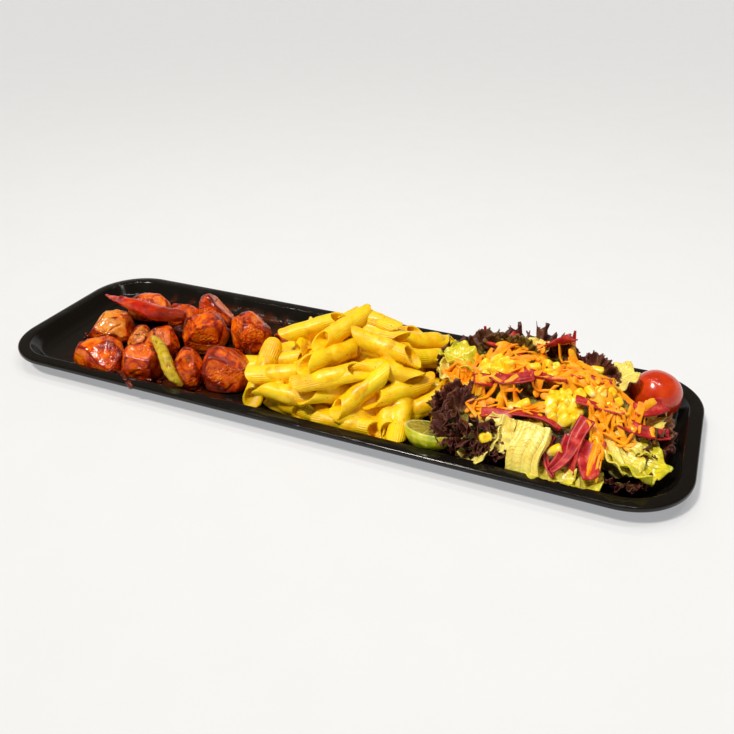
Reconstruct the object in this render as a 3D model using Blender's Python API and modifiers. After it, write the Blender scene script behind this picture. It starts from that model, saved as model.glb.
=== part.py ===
"""A long black serving tray that holds glazed chicken, penne in a yellow sauce and a mixed salad.

Frame: the origin is the middle of the tray's foot, +X runs along the tray towards the salad,
+Y across it, away from the diner, and +Z up. Each heap of small things is one solid.
"""

import math
import random

import bmesh
import bpy
from mathutils import Euler, Matrix, Vector

MM = 0.001
MERGE_GAP = 0.2 * MM

# Tray
TRAY_LENGTH = 440 * MM
TRAY_WIDTH = 138 * MM
CORNER_RADIUS = 37 * MM
CORNER_STEPS = 9
RIM_TOP = 12.5 * MM
FLOOR_TOP = 3.2 * MM
WALL = 2.4 * MM
FLANGE = 6.8 * MM
LIP_DROP = 3.2 * MM
EDGE_RADIUS = 1.2 * MM
RIM_RADIUS = 2.0 * MM
FILLET_RADIUS = 7.0 * MM
WALL_SLOPE = math.radians(55)
FOOT_HEIGHT = 0.8 * MM
FOOT_GAP = 2.0 * MM
FOOT_WIDTH = 3.0 * MM
FOOT_TAPER = 0.3 * MM

# Food
HEAP_CLEARANCE = 0.9 * MM
HEAP_VOXEL = 2.0 * MM
HEAP_CEILING = 90 * MM
PENNE_RADIUS = 5.6 * MM
PENNE_LENGTH = 42 * MM

COLOURS = {
    "tray": ((0.010, 0.009, 0.008), 0.12),
    "chicken": ((0.48, 0.10, 0.015), 0.25),
    "chilli": ((0.50, 0.02, 0.01), 0.20),
    "pepper": ((0.42, 0.33, 0.03), 0.25),
    "penne": ((0.88, 0.55, 0.02), 0.40),
    "salad": ((0.80, 0.25, 0.03), 0.50),
    "tomato": ((0.62, 0.03, 0.01), 0.12),
    "lime": ((0.45, 0.50, 0.03), 0.30),
}

# Glazed chunks: name, centre (mm), size (mm), turn about Z (degrees), seed of the shape
# A chunk's corners lie within CORNER_REACH of its box's, and its faces bulge to FACE_REACH.
CORNER_REACH = (0.70, 1.0)
FACE_REACH = (0.50, 0.58)
FACE_WANDER = 0.2
CHUNK_BEVEL = 0.09
CHICKEN = (
    ("chicken_01", (-147.5, -46, 13.0), (35, 21, 18), -10, 3),
    ("chicken_02", (-166.5, -12.5, 13.2), (30, 26, 18.5), 18, 7),
    ("chicken_03", (-161, 21, 13.4), (36, 20, 18.5), -8, 12),
    ("chicken_04", (-131, 22, 12.6), (19, 20, 17), 20, 21),
    ("chicken_05", (-112, 33, 14.8), (27, 20, 22), -12, 28),
    ("chicken_06", (-97, 0, 16.4), (28, 25, 25), 12, 35),
    ("chicken_07", (-70, 14, 16.0), (22, 29, 24), 14, 41),
    ("chicken_08", (-61, -30, 16.2), (29, 30, 24.5), 20, 52),
    ("chicken_09", (-81.2, -43.2, 15.0), (16, 20, 22), 14, 60),
    ("chicken_10", (-117.5, -45, 13.4), (24, 22, 19), 8, 66),
    ("chicken_11", (-120, -17.5, 13.8), (21, 19, 19), -20, 73),
    ("chicken_12", (-142, -15, 10.2), (14, 16, 13), 30, 81),
)

# Tubes of pasta: centre (mm), turn about Z, rise of the far end (degrees)
PENNE = (
    ((-31, -35, 19), 90, 36),
    ((-25, -23, 22), 20, 16),
    ((-14, -39, 24), 22, 6),
    ((-5, -50, 19), 2, 0),
    ((-9, -46, 10), 151, -6),
    ((-10, -3, 39), 33, 16),
    ((11, -8, 44), 66, 7),
    ((22, 6, 45.5), -9, -6),
    ((27, 2, 41), 180, 0),
    ((43, -17, 43), 0, -9),
    ((57, 22, 30), 38, -15),
    ((63, 8, 27), 48, -12),
    ((26, 30, 26), 17, 0),
    ((47, -28, 34), 12, -10),
    ((20, -45, 33), 31, 14),
    ((38, -43, 25), 57, 30),
    ((56, -30, 23), 45, 4),
    ((22, -42, 21), 34, 0),
    ((10, -22, 34), 63, 0),
    ((-17, -4, 29), 104, 4),
    ((-26, 4, 17), 8, 16),
    ((60, -38, 15), 95, 22),
    ((70, -26, 16), 40, 18),
    ((50, -36, 10), 97, 0),
    ((41, -43, 12), 40, 0),
    ((36, -51, 10), 5, 0),
    ((19, -51, 10), -10, 0),
    ((15, -27, 38), 60, 0),
    ((-16, 20, 20), 150, 8),
    ((4, 26, 26), 20, -8),
    ((-16, 38, 12), 60, 0),
    ((4, 46, 12), 10, 0),
    ((26, 47, 15), 165, 0),
    ((52, 42, 14), 30, 0),
    ((42, 26, 26), 120, -6),
    ((-33, 2, 10), 80, 0),
    ((66, 34, 11), 100, 0),
)
PENNE_CORE = ((14, -4, 14), (52, 46, 22))
PENNE_TRIANGLES = 2600
PENNE_CLEARANCE = 1.4 * MM

# Parts of the salad's outline: centre (mm), half sizes (mm)
SALAD = (
    ((138, -6, 12), (60, 46, 24)),
    ((116, 6, 28), (26, 26, 16)),
    ((150, 2, 26), (28, 26, 14)),
    ((92, -34, 18), (16, 15, 12)),
    ((108, -47, 13), (15, 12, 9)),
    ((97, 34, 25), (15, 12, 12)),
    ((108, 40, 21), (12, 10, 12)),
    ((137, 37, 21), (18, 10, 14)),
    ((158, 34, 19), (12, 12, 12)),
    ((120, -45, 16), (20, 13, 12)),
    ((152, -46, 13), (22, 11, 9)),
    ((184, -34, 11), (17, 14, 7)),
    ((193, -12, 13), (13, 13, 9)),
    ((178, 0, 20), (16, 16, 10)),
    ((171, 32, 14), (12, 14, 10)),
    ((84, 8, 26), (18, 18, 10)),
    ((80, 24, 16), (14, 16, 12)),
)

SALAD_TRIANGLES = 2200

TOMATO_PLACE = (192.5, 31.5, 18.9)
TOMATO_SIZE = (31, 30, 29)
TOMATO_TAPER = 0.10
TOMATO_TURN = (0, 40, 25)
LIME_PLACE = (82, -48.5, 17.0)
LIME_HALF_SIZES = (15, 12.5, 13)
LIME_CUT_LEAN = 18
LIME_TURN = -8
CUTTER_GROWTH = 1.2
CUTTER_LIFT = 2.5 * MM

# Strips on the chicken: points (mm) along the middle and the half width there (mm)
CHILLI = (
    ((-200, 15.5, 20.5), 0.7),
    ((-187, 8.5, 23.0), 2.2),
    ((-168, 0.5, 27.2), 4.2),
    ((-152, -3.5, 27.6), 5.3),
    ((-136, -6.5, 28.2), 5.6),
    ((-123, -7.0, 29.4), 5.0),
    ((-116, -5.0, 29.4), 3.2),
)
CHILLI_FLATNESS = 1.0
PEPPER = (
    ((-113, -34.5, 26.5), 2.0),
    ((-103.5, -41.5, 27.8), 3.6),
    ((-93.5, -50, 25.4), 4.2),
    ((-88, -55.4, 19.0), 4.2),
    ((-84, -54.6, 11.0), 2.4),
)
PEPPER_FLATNESS = 0.5


def millimetres(values):
    return Vector(values) * MM


def material(kind):
    colour, roughness = COLOURS[kind]
    made = bpy.data.materials.get(kind) or bpy.data.materials.new(kind)
    made.use_nodes = True
    shader = made.node_tree.nodes["Principled BSDF"]
    shader.inputs["Base Color"].default_value = (*colour, 1)
    shader.inputs["Roughness"].default_value = roughness
    shader.inputs["Metallic"].default_value = 0
    return made


def object_from(name, bm, collection, kind=None):
    """A named object from a bmesh, which is freed."""
    mesh = bpy.data.meshes.new(name)
    bm.to_mesh(mesh)
    bm.free()
    made = bpy.data.objects.new(name, mesh)
    collection.objects.link(made)
    if kind:
        mesh.materials.append(material(kind))
    return made


def helper(made):
    """Marks a cutter, which isn't part of the model."""
    made.hide_render = True
    made.display_type = "WIRE"
    return made


def arc(inset, height, radius, start, end, steps):
    """Points (inset, height) of an arc about a centre given the same way, angles in degrees."""
    angles = [math.radians(start + (end - start) * k / steps) for k in range(steps + 1)]
    return [(inset + radius * math.cos(a), height + radius * math.sin(a)) for a in angles]


def fillet_inset():
    """How far in from the outer edge the flat floor starts."""
    turn = math.pi / 2 - WALL_SLOPE
    top_inset = FLANGE + RIM_RADIUS * math.cos(turn)
    top_height = RIM_TOP - RIM_RADIUS + RIM_RADIUS * math.sin(turn)
    foot_height = FLOOR_TOP + FILLET_RADIUS * (1 - math.sin(turn))
    run = (top_height - foot_height) / math.tan(WALL_SLOPE)
    return top_inset + run + FILLET_RADIUS * math.cos(turn)


def upper_profile():
    """The side that shows, from the outer edge to the floor."""
    slope = math.degrees(WALL_SLOPE)
    edge = arc(EDGE_RADIUS, RIM_TOP - EDGE_RADIUS, EDGE_RADIUS, 180, 90, 2)
    rim = arc(FLANGE, RIM_TOP - RIM_RADIUS, RIM_RADIUS, 90, 90 - slope, 2)
    fillet = arc(fillet_inset(), FLOOR_TOP + FILLET_RADIUS, FILLET_RADIUS, 270 - slope, 270, 3)
    return edge + rim + fillet


def lower_profile():
    """The underside, from the lip to the middle, with the foot ring that the tray stands on."""
    slope = math.degrees(WALL_SLOPE)
    lip = RIM_TOP - LIP_DROP
    under = RIM_TOP - WALL
    fillet = arc(fillet_inset(), FLOOR_TOP + FILLET_RADIUS, FILLET_RADIUS + WALL, 270 - slope, 270, 3)
    bend = fillet[0][0] - (under - fillet[0][1]) / math.tan(WALL_SLOPE)
    foot = fillet_inset() + FOOT_GAP
    return [
        *arc(0.8 * MM, lip + 0.8 * MM, 0.8 * MM, 180, 270, 2),
        (1.8 * MM, lip),
        (2.6 * MM, under),
        (bend, under),
        *fillet,
        (foot, FOOT_HEIGHT),
        (foot + FOOT_TAPER, 0),
        (foot + FOOT_TAPER + FOOT_WIDTH, 0),
        (foot + 2 * FOOT_TAPER + FOOT_WIDTH, FOOT_HEIGHT),
    ]


def step_in(bm, face, profile):
    """Insets a face along a profile of (inset, height) points; the first is where it is now."""
    rising = 1 if face.normal.z > 0 else -1
    for (inset, height), (next_inset, next_height) in zip(profile, profile[1:]):
        depth = (next_height - height) * rising
        bmesh.ops.inset_region(bm, faces=[face], thickness=next_inset - inset, depth=depth)


def rounded_block(length, width, radius, low, high):
    """A bmesh block with four rounded corners, and its top and bottom faces."""
    bm = bmesh.new()
    bmesh.ops.create_cube(bm, size=1)
    bmesh.ops.scale(bm, vec=(length, width, high - low), verts=bm.verts)
    bmesh.ops.translate(bm, vec=(0, 0, (high + low) / 2), verts=bm.verts)
    upright = [e for e in bm.edges if abs(e.verts[0].co.z - e.verts[1].co.z) > MM / 10]
    bmesh.ops.bevel(
        bm, geom=upright, offset=radius, segments=CORNER_STEPS, profile=0.5, affect="EDGES"
    )
    bm.normal_update()
    top = next(f for f in bm.faces if f.normal.z > 0.9)
    bottom = next(f for f in bm.faces if f.normal.z < -0.9)
    return bm, top, bottom


def build_tray(collection):
    upper = upper_profile()
    lower = lower_profile()
    bm, top, bottom = rounded_block(
        TRAY_LENGTH, TRAY_WIDTH, CORNER_RADIUS, lower[0][1], upper[0][1]
    )
    step_in(bm, top, upper)
    step_in(bm, bottom, lower)
    tray = object_from("tray", bm, collection, "tray")
    tray.data.shade_smooth()
    tray.data.set_sharp_from_angle(angle=math.radians(40))
    return tray


def build_cavity(collection):
    """The space above the tray that food may fill, a clearance in from its surface."""
    outline = [(inset + HEAP_CLEARANCE, height + HEAP_CLEARANCE) for inset, height in upper_profile()]
    bm, _, bottom = rounded_block(
        TRAY_LENGTH - 2 * HEAP_CLEARANCE,
        TRAY_WIDTH - 2 * HEAP_CLEARANCE,
        CORNER_RADIUS - HEAP_CLEARANCE,
        outline[2][1],
        HEAP_CEILING,
    )
    step_in(bm, bottom, [(HEAP_CLEARANCE, outline[2][1]), *outline[3:]])
    return helper(object_from("cavity", bm, collection))


def build_chunk(name, centre, size, turn, seed, collection):
    """A diced chunk: a box with its corners pushed about, bulged faces and rounded edges."""
    draw = random.Random(seed)
    points = []
    for x in (-1, 1):
        for y in (-1, 1):
            for z in (-1, 1):
                points.append(Vector((x, y, z)) * 0.5 * draw.uniform(*CORNER_REACH))
    for axis in range(3):
        for side in (-1, 1):
            bulge = Vector([draw.uniform(-FACE_WANDER, FACE_WANDER) for _ in range(3)])
            bulge[axis] = side * draw.uniform(*FACE_REACH)
            points.append(bulge)
    bm = bmesh.new()
    for point in points:
        bm.verts.new([c * s * MM for c, s in zip(point, size)])
    hull = bmesh.ops.convex_hull(bm, input=bm.verts)
    spare = hull["geom_interior"] + hull["geom_unused"]
    inside = {item for item in spare if isinstance(item, bmesh.types.BMVert)}
    bmesh.ops.delete(bm, geom=list(inside), context="VERTS")
    width = CHUNK_BEVEL * min(size) * MM
    bmesh.ops.bevel(bm, geom=bm.edges[:], offset=width, segments=1, profile=0.5, affect="EDGES")
    bmesh.ops.remove_doubles(bm, verts=bm.verts, dist=MERGE_GAP)
    fit_size(bm, millimetres(size))
    chunk = object_from(name, bm, collection, "chicken")
    chunk.location = millimetres(centre)
    chunk.rotation_euler.z = math.radians(turn)
    chunk.data.shade_smooth()
    return chunk


def fit_size(bm, size):
    """Scales and centres a bmesh so that its box has this size about the origin."""
    for axis in range(3):
        low = min(vertex.co[axis] for vertex in bm.verts)
        high = max(vertex.co[axis] for vertex in bm.verts)
        for vertex in bm.verts:
            vertex.co[axis] = ((vertex.co[axis] - low) / (high - low) - 0.5) * size[axis]


def add_skin(heap, name):
    skin = heap.modifiers.new(name, "REMESH")
    skin.mode = "VOXEL"
    skin.voxel_size = HEAP_VOXEL


def build_heap(name, kind, lumps, triangles, cavity, neighbours, collection):
    """Joins the lumps into one skin, keeps it inside the tray and off its neighbours, and thins it."""
    heap = object_from(name, lumps, collection, kind)
    add_skin(heap, "skin")
    for cutter, operation in [(cavity, "INTERSECT")] + [(n, "DIFFERENCE") for n in neighbours]:
        trim = heap.modifiers.new(cutter.name, "BOOLEAN")
        trim.object = cutter
        trim.operation = operation
    add_skin(heap, "close")
    bpy.context.view_layer.update()
    made = bpy.data.meshes.new_from_object(
        heap.evaluated_get(bpy.context.evaluated_depsgraph_get())
    )
    thin = heap.modifiers.new("thin", "DECIMATE")
    thin.use_collapse_triangulate = True
    thin.ratio = triangles / sum(len(p.vertices) - 2 for p in made.polygons)
    bpy.data.meshes.remove(made)
    heap.data.shade_smooth()
    return heap


def penne_lumps(grow=0.0):
    """Every tube as a plain cylinder, with the mass of sauce and pasta under them."""
    bm = bmesh.new()
    for centre, turn, rise in PENNE:
        place = (
            Matrix.Translation(millimetres(centre))
            @ Euler((0, math.radians(90 - rise), math.radians(turn))).to_matrix().to_4x4()
        )
        bmesh.ops.create_cone(
            bm,
            cap_ends=True,
            segments=12,
            radius1=PENNE_RADIUS + grow,
            radius2=PENNE_RADIUS + grow,
            depth=PENNE_LENGTH + 2 * grow,
            matrix=place,
        )
    ellipsoid(bm, *PENNE_CORE, grow)
    return bm


def ellipsoid(bm, centre, half_sizes, grow=0.0):
    scale = Matrix.Diagonal((*(millimetres(half_sizes) + Vector((grow, grow, grow))), 1))
    bmesh.ops.create_icosphere(
        bm, subdivisions=3, radius=1, matrix=Matrix.Translation(millimetres(centre)) @ scale
    )


def salad_lumps():
    bm = bmesh.new()
    for centre, half_sizes in SALAD:
        ellipsoid(bm, centre, half_sizes)
    return bm


def build_strip(name, kind, route, flatness, collection):
    """A tapered strip along a smooth route; its thickness across Y is flatness times its width."""
    curve = bpy.data.curves.new(name, "CURVE")
    curve.dimensions = "3D"
    curve.bevel_depth = MM
    curve.bevel_resolution = 2
    curve.use_fill_caps = True
    curve.resolution_u = 3
    curve.materials.append(material(kind))
    middle = sum((millimetres(place) for place, _ in route), Vector()) / len(route)
    spline = curve.splines.new("BEZIER")
    spline.bezier_points.add(len(route) - 1)
    for point, (place, half_width) in zip(spline.bezier_points, route):
        offset = millimetres(place) - middle
        point.co = (offset.x, offset.y / flatness, offset.z)
        point.handle_left_type = point.handle_right_type = "AUTO"
        point.radius = half_width
    strip = bpy.data.objects.new(name, curve)
    strip.location = middle
    strip.scale.y = flatness
    collection.objects.link(strip)
    return strip


def build_tomato(collection):
    bpy.ops.mesh.primitive_uv_sphere_add(segments=18, ring_count=11, radius=0.5)
    tomato = bpy.context.object
    tomato.name = "cherry_tomato"
    move_to(tomato, collection)
    for vertex in tomato.data.vertices:
        narrowing = 1 - TOMATO_TAPER * 2 * vertex.co.z
        vertex.co.x *= narrowing
        vertex.co.y *= narrowing
    tomato.scale = millimetres(TOMATO_SIZE)
    tomato.location = millimetres(TOMATO_PLACE)
    tomato.rotation_euler = [math.radians(turn) for turn in TOMATO_TURN]
    tomato.data.materials.append(material("tomato"))
    tomato.data.shade_smooth()
    return tomato


def build_lime(collection):
    """A wedge of lime that lies against the near wall with its cut face up."""
    bm = bmesh.new()
    bmesh.ops.create_uvsphere(bm, u_segments=20, v_segments=12, radius=1)
    bmesh.ops.scale(bm, vec=millimetres(LIME_HALF_SIZES), verts=bm.verts)
    lean = math.radians(LIME_CUT_LEAN)
    cut = bmesh.ops.bisect_plane(
        bm,
        geom=bm.verts[:] + bm.edges[:] + bm.faces[:],
        plane_co=(0, 0, 0),
        plane_no=(0, math.sin(lean), math.cos(lean)),
        clear_outer=True,
    )
    rim = [g for g in cut["geom_cut"] if isinstance(g, bmesh.types.BMEdge)]
    bmesh.ops.contextual_create(bm, geom=rim)
    lime = object_from("lime_wedge", bm, collection, "lime")
    lime.location = millimetres(LIME_PLACE)
    lime.rotation_euler.z = math.radians(LIME_TURN)
    lime.data.shade_smooth()
    lime.data.set_sharp_from_angle(angle=math.radians(50))
    return lime


def grown_copy(made, collection):
    """A slightly larger copy of a solid, to keep a heap clear of it."""
    copy = made.copy()
    copy.name = made.name + "_clearance"
    copy.scale = Vector(made.scale) * CUTTER_GROWTH
    copy.location.z += CUTTER_LIFT
    collection.objects.link(copy)
    return helper(copy)


def move_to(made, collection):
    for holder in list(made.users_collection):
        holder.objects.unlink(made)
    collection.objects.link(made)


def main():
    for old in list(bpy.data.objects):
        bpy.data.objects.remove(old)
    meal = bpy.data.collections.new("meal_tray")
    cutters = bpy.data.collections.new("cutters")
    bpy.context.scene.collection.children.link(meal)
    bpy.context.scene.collection.children.link(cutters)
    build_tray(meal)
    cavity = build_cavity(cutters)
    for name, centre, size, turn, seed in CHICKEN:
        build_chunk(name, centre, size, turn, seed, meal)
    build_strip("chilli", "chilli", CHILLI, CHILLI_FLATNESS, meal)
    build_strip("green_pepper", "pepper", PEPPER, PEPPER_FLATNESS, meal)
    tomato = build_tomato(meal)
    lime = build_lime(meal)
    build_heap("penne_heap", "penne", penne_lumps(), PENNE_TRIANGLES, cavity, [], meal)
    clearance = helper(object_from("penne_clearance", penne_lumps(PENNE_CLEARANCE), cutters))
    add_skin(clearance, "skin")
    neighbours = [clearance, grown_copy(tomato, cutters), grown_copy(lime, cutters)]
    build_heap("salad_heap", "salad", salad_lumps(), SALAD_TRIANGLES, cavity, neighbours, meal)


main()
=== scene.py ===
"""Dresses a black serving tray with glazed chicken, penne in a yellow sauce and a mixed salad."""

import math
import random

import bmesh
import bpy
import numpy as np
from mathutils import Euler, Matrix, Quaternion, Vector, noise
from mathutils.bvhtree import BVHTree


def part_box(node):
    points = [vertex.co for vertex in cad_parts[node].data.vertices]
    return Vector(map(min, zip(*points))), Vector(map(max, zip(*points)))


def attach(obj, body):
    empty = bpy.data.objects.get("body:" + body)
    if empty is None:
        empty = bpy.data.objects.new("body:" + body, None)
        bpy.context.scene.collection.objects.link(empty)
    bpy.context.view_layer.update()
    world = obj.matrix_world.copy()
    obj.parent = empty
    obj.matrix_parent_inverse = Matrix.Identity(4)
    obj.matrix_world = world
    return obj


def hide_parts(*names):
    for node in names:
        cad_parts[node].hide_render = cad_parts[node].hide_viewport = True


bl_info = {
    "name": "Filled Meal Tray",
    "version": (1, 0, 0),
    "blender": (4, 5, 0),
    "location": "View3D > Sidebar > Meal Tray",
    "description": "Models a serving tray with glazed chicken, penne and a mixed salad",
    "category": "Add Mesh",
}

MM = 0.001
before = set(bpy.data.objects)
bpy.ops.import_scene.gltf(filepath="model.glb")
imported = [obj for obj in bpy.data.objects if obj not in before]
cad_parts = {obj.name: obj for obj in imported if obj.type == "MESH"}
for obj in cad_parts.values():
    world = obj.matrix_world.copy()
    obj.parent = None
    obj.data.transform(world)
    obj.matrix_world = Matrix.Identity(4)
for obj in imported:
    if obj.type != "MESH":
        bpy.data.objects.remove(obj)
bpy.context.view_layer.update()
TRAY_LOW, TRAY_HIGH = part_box("tray")
PENNE_LOW, PENNE_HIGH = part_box("penne_heap")
SALAD_LOW, SALAD_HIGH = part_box("salad_heap")
CHUNKS = sorted(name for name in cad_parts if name.startswith("chicken"))
FLOOR_TOP = 3.2 * MM
FOOD_BOTTOM = FLOOR_TOP + 0.1 * MM

# Each chunk: way its fibres run (degrees about Z), bare meat that shows (0 to 1) and how far
# its glaze stands out of the solid (mm)
CHUNK_LOOKS = {
    "chicken_01": (-15, 0.10, 1.8),
    "chicken_02": (60, 0.75, 1.0),
    "chicken_03": (-20, 0.25, 1.2),
    "chicken_04": (40, 0.30, 1.0),
    "chicken_05": (70, 0.15, 2.4),
    "chicken_06": (20, 0.05, 1.2),
    "chicken_07": (95, 0.45, 2.0),
    "chicken_08": (80, 0.20, 1.5),
    "chicken_09": (70, 0.05, 1.8),
    "chicken_10": (-30, 0.10, 2.4),
    "chicken_11": (-35, 0.50, 1.6),
    "chicken_12": (20, 0.60, 1.2),
}

# Flat sides of the chunks: heading and rise of the way a side faces (degrees), and the share of
# the chunk's reach that is left on that side
CHUNK_SIDES = {
    "chicken_01": (
        (300, 48, 0.61),
        (130, 50, 0.65),
        (262, 8, 0.69),
        (165, 15, 0.71),
        (35, 40, 0.71),
    ),
    "chicken_02": ((300, 40, 0.71), (60, 60, 0.75), (200, 40, 0.65), (20, 20, 0.73)),
    "chicken_03": ((320, 45, 0.69), (150, 50, 0.67), (230, 20, 0.65)),
    "chicken_04": ((300, 50, 0.67), (20, 40, 0.67), (100, 60, 0.73)),
    "chicken_05": ((35, 42, 0.42), (215, 12, 0.71), (300, 25, 0.69), (130, 50, 0.67)),
    "chicken_06": (
        (285, 80, 0.77),
        (305, 8, 0.73),
        (235, 25, 0.61),
        (40, 15, 0.75),
        (130, 55, 0.71),
    ),
    "chicken_07": ((320, 12, 0.71), (235, 30, 0.69), (45, 35, 0.67), (140, 60, 0.75)),
    "chicken_08": (
        (40, 42, 0.51),
        (300, 18, 0.67),
        (335, 58, 0.71),
        (130, 50, 0.63),
        (215, -10, 0.81),
    ),
    "chicken_09": ((30, 30, 0.65), (300, 30, 0.73), (210, 40, 0.69)),
    "chicken_10": (
        (300, 66, 0.69),
        (290, 4, 0.73),
        (225, 20, 0.67),
        (40, 20, 0.69),
        (130, 50, 0.71),
    ),
    "chicken_11": ((320, 55, 0.69), (140, 50, 0.67), (230, 30, 0.67)),
    "chicken_12": ((300, 50, 0.71), (200, 30, 0.67)),
}

# The penne that show: middle (mm), turn about Z, rise of the far end, roll (degrees)
SHOWN_PENNE = (
    ((-31, -35, 19), 90, 36, 200),
    ((-25, -23, 22), 20, 16, 90),
    ((-14, -39, 24), 22, 6, 30),
    ((-5, -50, 19), 2, 0, 150),
    ((-9, -46, 10), 151, -6, 90),
    ((-10, -3, 39), 33, 16, 20),
    ((11, -8, 44), 66, 7, 180),
    ((22, 6, 45.5), -9, -6, 180),
    ((27, 2, 41), 180, 0, 40),
    ((43, -17, 43), 0, -9, 0),
    ((57, 22, 30), 38, -15, 0),
    ((63, 8, 27), 48, -12, 70),
    ((26, 30, 26), 17, 0, 10),
    ((47, -28, 34), 12, -10, 150),
    ((20, -45, 33), 31, 14, 20),
    ((38, -43, 25), 57, 30, 180),
    ((56, -30, 23), 45, 4, 180),
    ((22, -42, 21), 34, 0, 180),
    ((10, -22, 34), 63, 0, 200),
    ((-17, -4, 29), 104, 4, 90),
    ((-26, 4, 17), 8, 16, 0),
    ((60, -38, 15), 95, 22, 0),
    ((70, -26, 16), 40, 18, 40),
    ((50, -36, 10), 97, 0, 180),
    ((41, -43, 12), 40, 0, 20),
    ((36, -51, 10), 5, 0, 60),
    ((19, -51, 10), -10, 0, 10),
    ((15, -27, 38), 60, 0, 90),
)
HIDDEN_PENNE = 46
PENNE_RIDGES = 28
END_SLANT = 0.80

# Frilly red leaves: foot (mm), heading and tilt (degrees), size (mm), how green (0 to 1)
FRILLY_LEAVES = (
    ((92, -44, 22), 200, 30, 17, 0.0),
    ((97, -40, 24), 170, 45, 15, 0.0),
    ((102, -43, 24), 250, 25, 17, 0.05),
    ((107, -43, 22), 290, 15, 15, 0.0),
    ((98, -46, 17), 215, 5, 17, 0.1),
    ((105, -46, 17), 270, 5, 16, 0.0),
    ((104, -47, 12), 255, -5, 14, 0.05),
    ((112, -46, 16), 300, 0, 14, 0.0),
    ((116, -47, 12), 310, -5, 13, 0.1),
    ((110, -47, 10), 280, 0, 12, 0.0),
    ((96, -34, 22), 150, 30, 18, 0.2),
    ((186, -42, 7), 290, 4, 14, 0.2),
    ((190, -14, 17), 350, 20, 19, 0.5),
    ((189, -18, 12), 320, 5, 20, 0.2),
    ((156, 24, 24), 70, 48, 17, 0.0),
    ((161, 22, 20), 40, 30, 16, 0.0),
    ((95, 20, 27), 120, 52, 19, 0.5),
    ((102, 22, 28), 95, 60, 16, 0.6),
    ((113, 22, 30), 80, 62, 15, 1.0),
    ((136, 30, 28), 90, 58, 14, 0.1),
    ((120, 32, 18), 95, 20, 28, 0.1),
    ((96, 34, 14), 115, 12, 26, 0.3),
    ((172, 22, 14), 60, 15, 24, 0.1),
    ((142, 36, 12), 85, 5, 24, 0.5),
    ((84, 10, 18), 160, 25, 22, 0.4),
)

# Pale lettuce: middle (mm), heading and tilt, width and length (mm), how green (0 to 1)
LETTUCE = (
    ((84, 0, 33), 160, 14, 20, 26, 0.9),
    ((83, -12, 30), 185, 25, 20, 20, 0.15),
    ((78, 6, 26), 140, 5, 18, 24, 0.7),
    ((120, -47, 23), 262, -50, 17, 20, 0.0),
    ((112, -50, 16), 250, -35, 18, 24, 0.1),
    ((150, -50, 11), 275, -25, 26, 26, 0.45),
    ((164, -50, 9), 285, -12, 24, 26, 0.5),
    ((186, -36, 17), 330, -12, 27, 36, 0.85),
    ((180, -36, 20), 310, -20, 22, 30, 0.3),
    ((188, -26, 20), 340, 5, 18, 22, 0.35),
    ((194, -6, 22), 20, 24, 16, 18, 0.25),
    ((122, 28, 34), 70, 40, 15, 15, 0.1),
    ((170, 22, 28), 30, 25, 24, 24, 0.1),
    ((112, 40, 17), 100, -25, 26, 28, 0.5),
    ((150, 42, 15), 85, -28, 28, 26, 0.3),
    ((178, 34, 11), 60, -15, 22, 22, 0.6),
    ((88, 36, 16), 120, -20, 26, 26, 0.7),
    ((134, -42, 25), 275, -25, 16, 14, 0.1),
)

# Red strips: foot (mm), heading and rise (degrees), length, width and width at the tip (mm), curl
RED_STRIPS = (
    ((90, 25, 27), 95, 72, 17, 6, 0.5, 0.3),
    ((98, 22, 32), 60, 12, 20, 8, 4, 0.2),
    ((122, 28, 36), 12, 10, 24, 12, 7, -0.5),
    ((141, 32, 30), 80, 74, 18, 5, 0.6, 0.2),
    ((108, -40, 28), 12, 4, 17, 9, 6, 0.2),
    ((124, -37, 31), 4, 3, 27, 8, 6, -0.3),
    ((163, -32, 34), 245, -42, 31, 9, 5, 0.3),
    ((158, -40, 26), 262, -34, 22, 10, 4, -0.4),
    ((167, -38, 25), 275, -34, 22, 14, 8, 0.3),
    ((147, -40, 24), 255, -38, 24, 4, 2, 0.7),
    ((154, -22, 37), 8, -6, 27, 8, 6, -0.3),
    ((184, -10, 30), 20, 0, 18, 12, 8, 0.4),
    ((178, -24, 30), 350, -8, 26, 10, 6, 0.3),
    ((98, -22, 36), 20, 6, 20, 10, 6, 0.5),
    ((108, -18, 39), 340, -3, 24, 9, 6, 0.4),
    ((124, -14, 42), 15, 0, 24, 9, 6, -0.3),
    ((148, 2, 39), 350, -5, 22, 8, 6, 0.4),
    ((166, -4, 34), 300, -10, 20, 8, 6, 0.3),
    ((118, 14, 38), 170, -5, 24, 7, 5, 0.3),
    ((146, 22, 32), 100, -18, 24, 8, 6, 0.3),
    ((104, 34, 22), 140, -20, 24, 8, 5, 0.2),
    ((168, 24, 24), 70, -25, 22, 9, 6, 0.4),
)

# Carrot shreds: middle and spread of the patch (mm), how many, heading and its spread (degrees)
CARROT_PATCHES = (
    ((92, -13), (11, 9), 24, 20, 60),
    ((104, -28), (12, 6), 13, -10, 40),
    ((101, 3), (10, 9), 10, 60, 50),
    ((122, 0), (12, 10), 18, 30, 60),
    ((142, -4), (14, 11), 26, 10, 60),
    ((162, 2), (10, 10), 14, -40, 50),
    ((130, -28), (14, 5), 11, 10, 30),
    ((176, -16), (11, 8), 24, -10, 60),
    ((170, -30), (9, 7), 11, -60, 40),
    ((171, -46), (3, 5), 3, -80, 20),
    ((118, 22), (16, 8), 13, 30, 80),
    ((150, 22), (12, 9), 12, -30, 80),
    ((186, -6), (5, 5), 4, 60, 30),
)
# How many shreds are laid for each one counted above
CARROT_SHARE = 1.35

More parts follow.
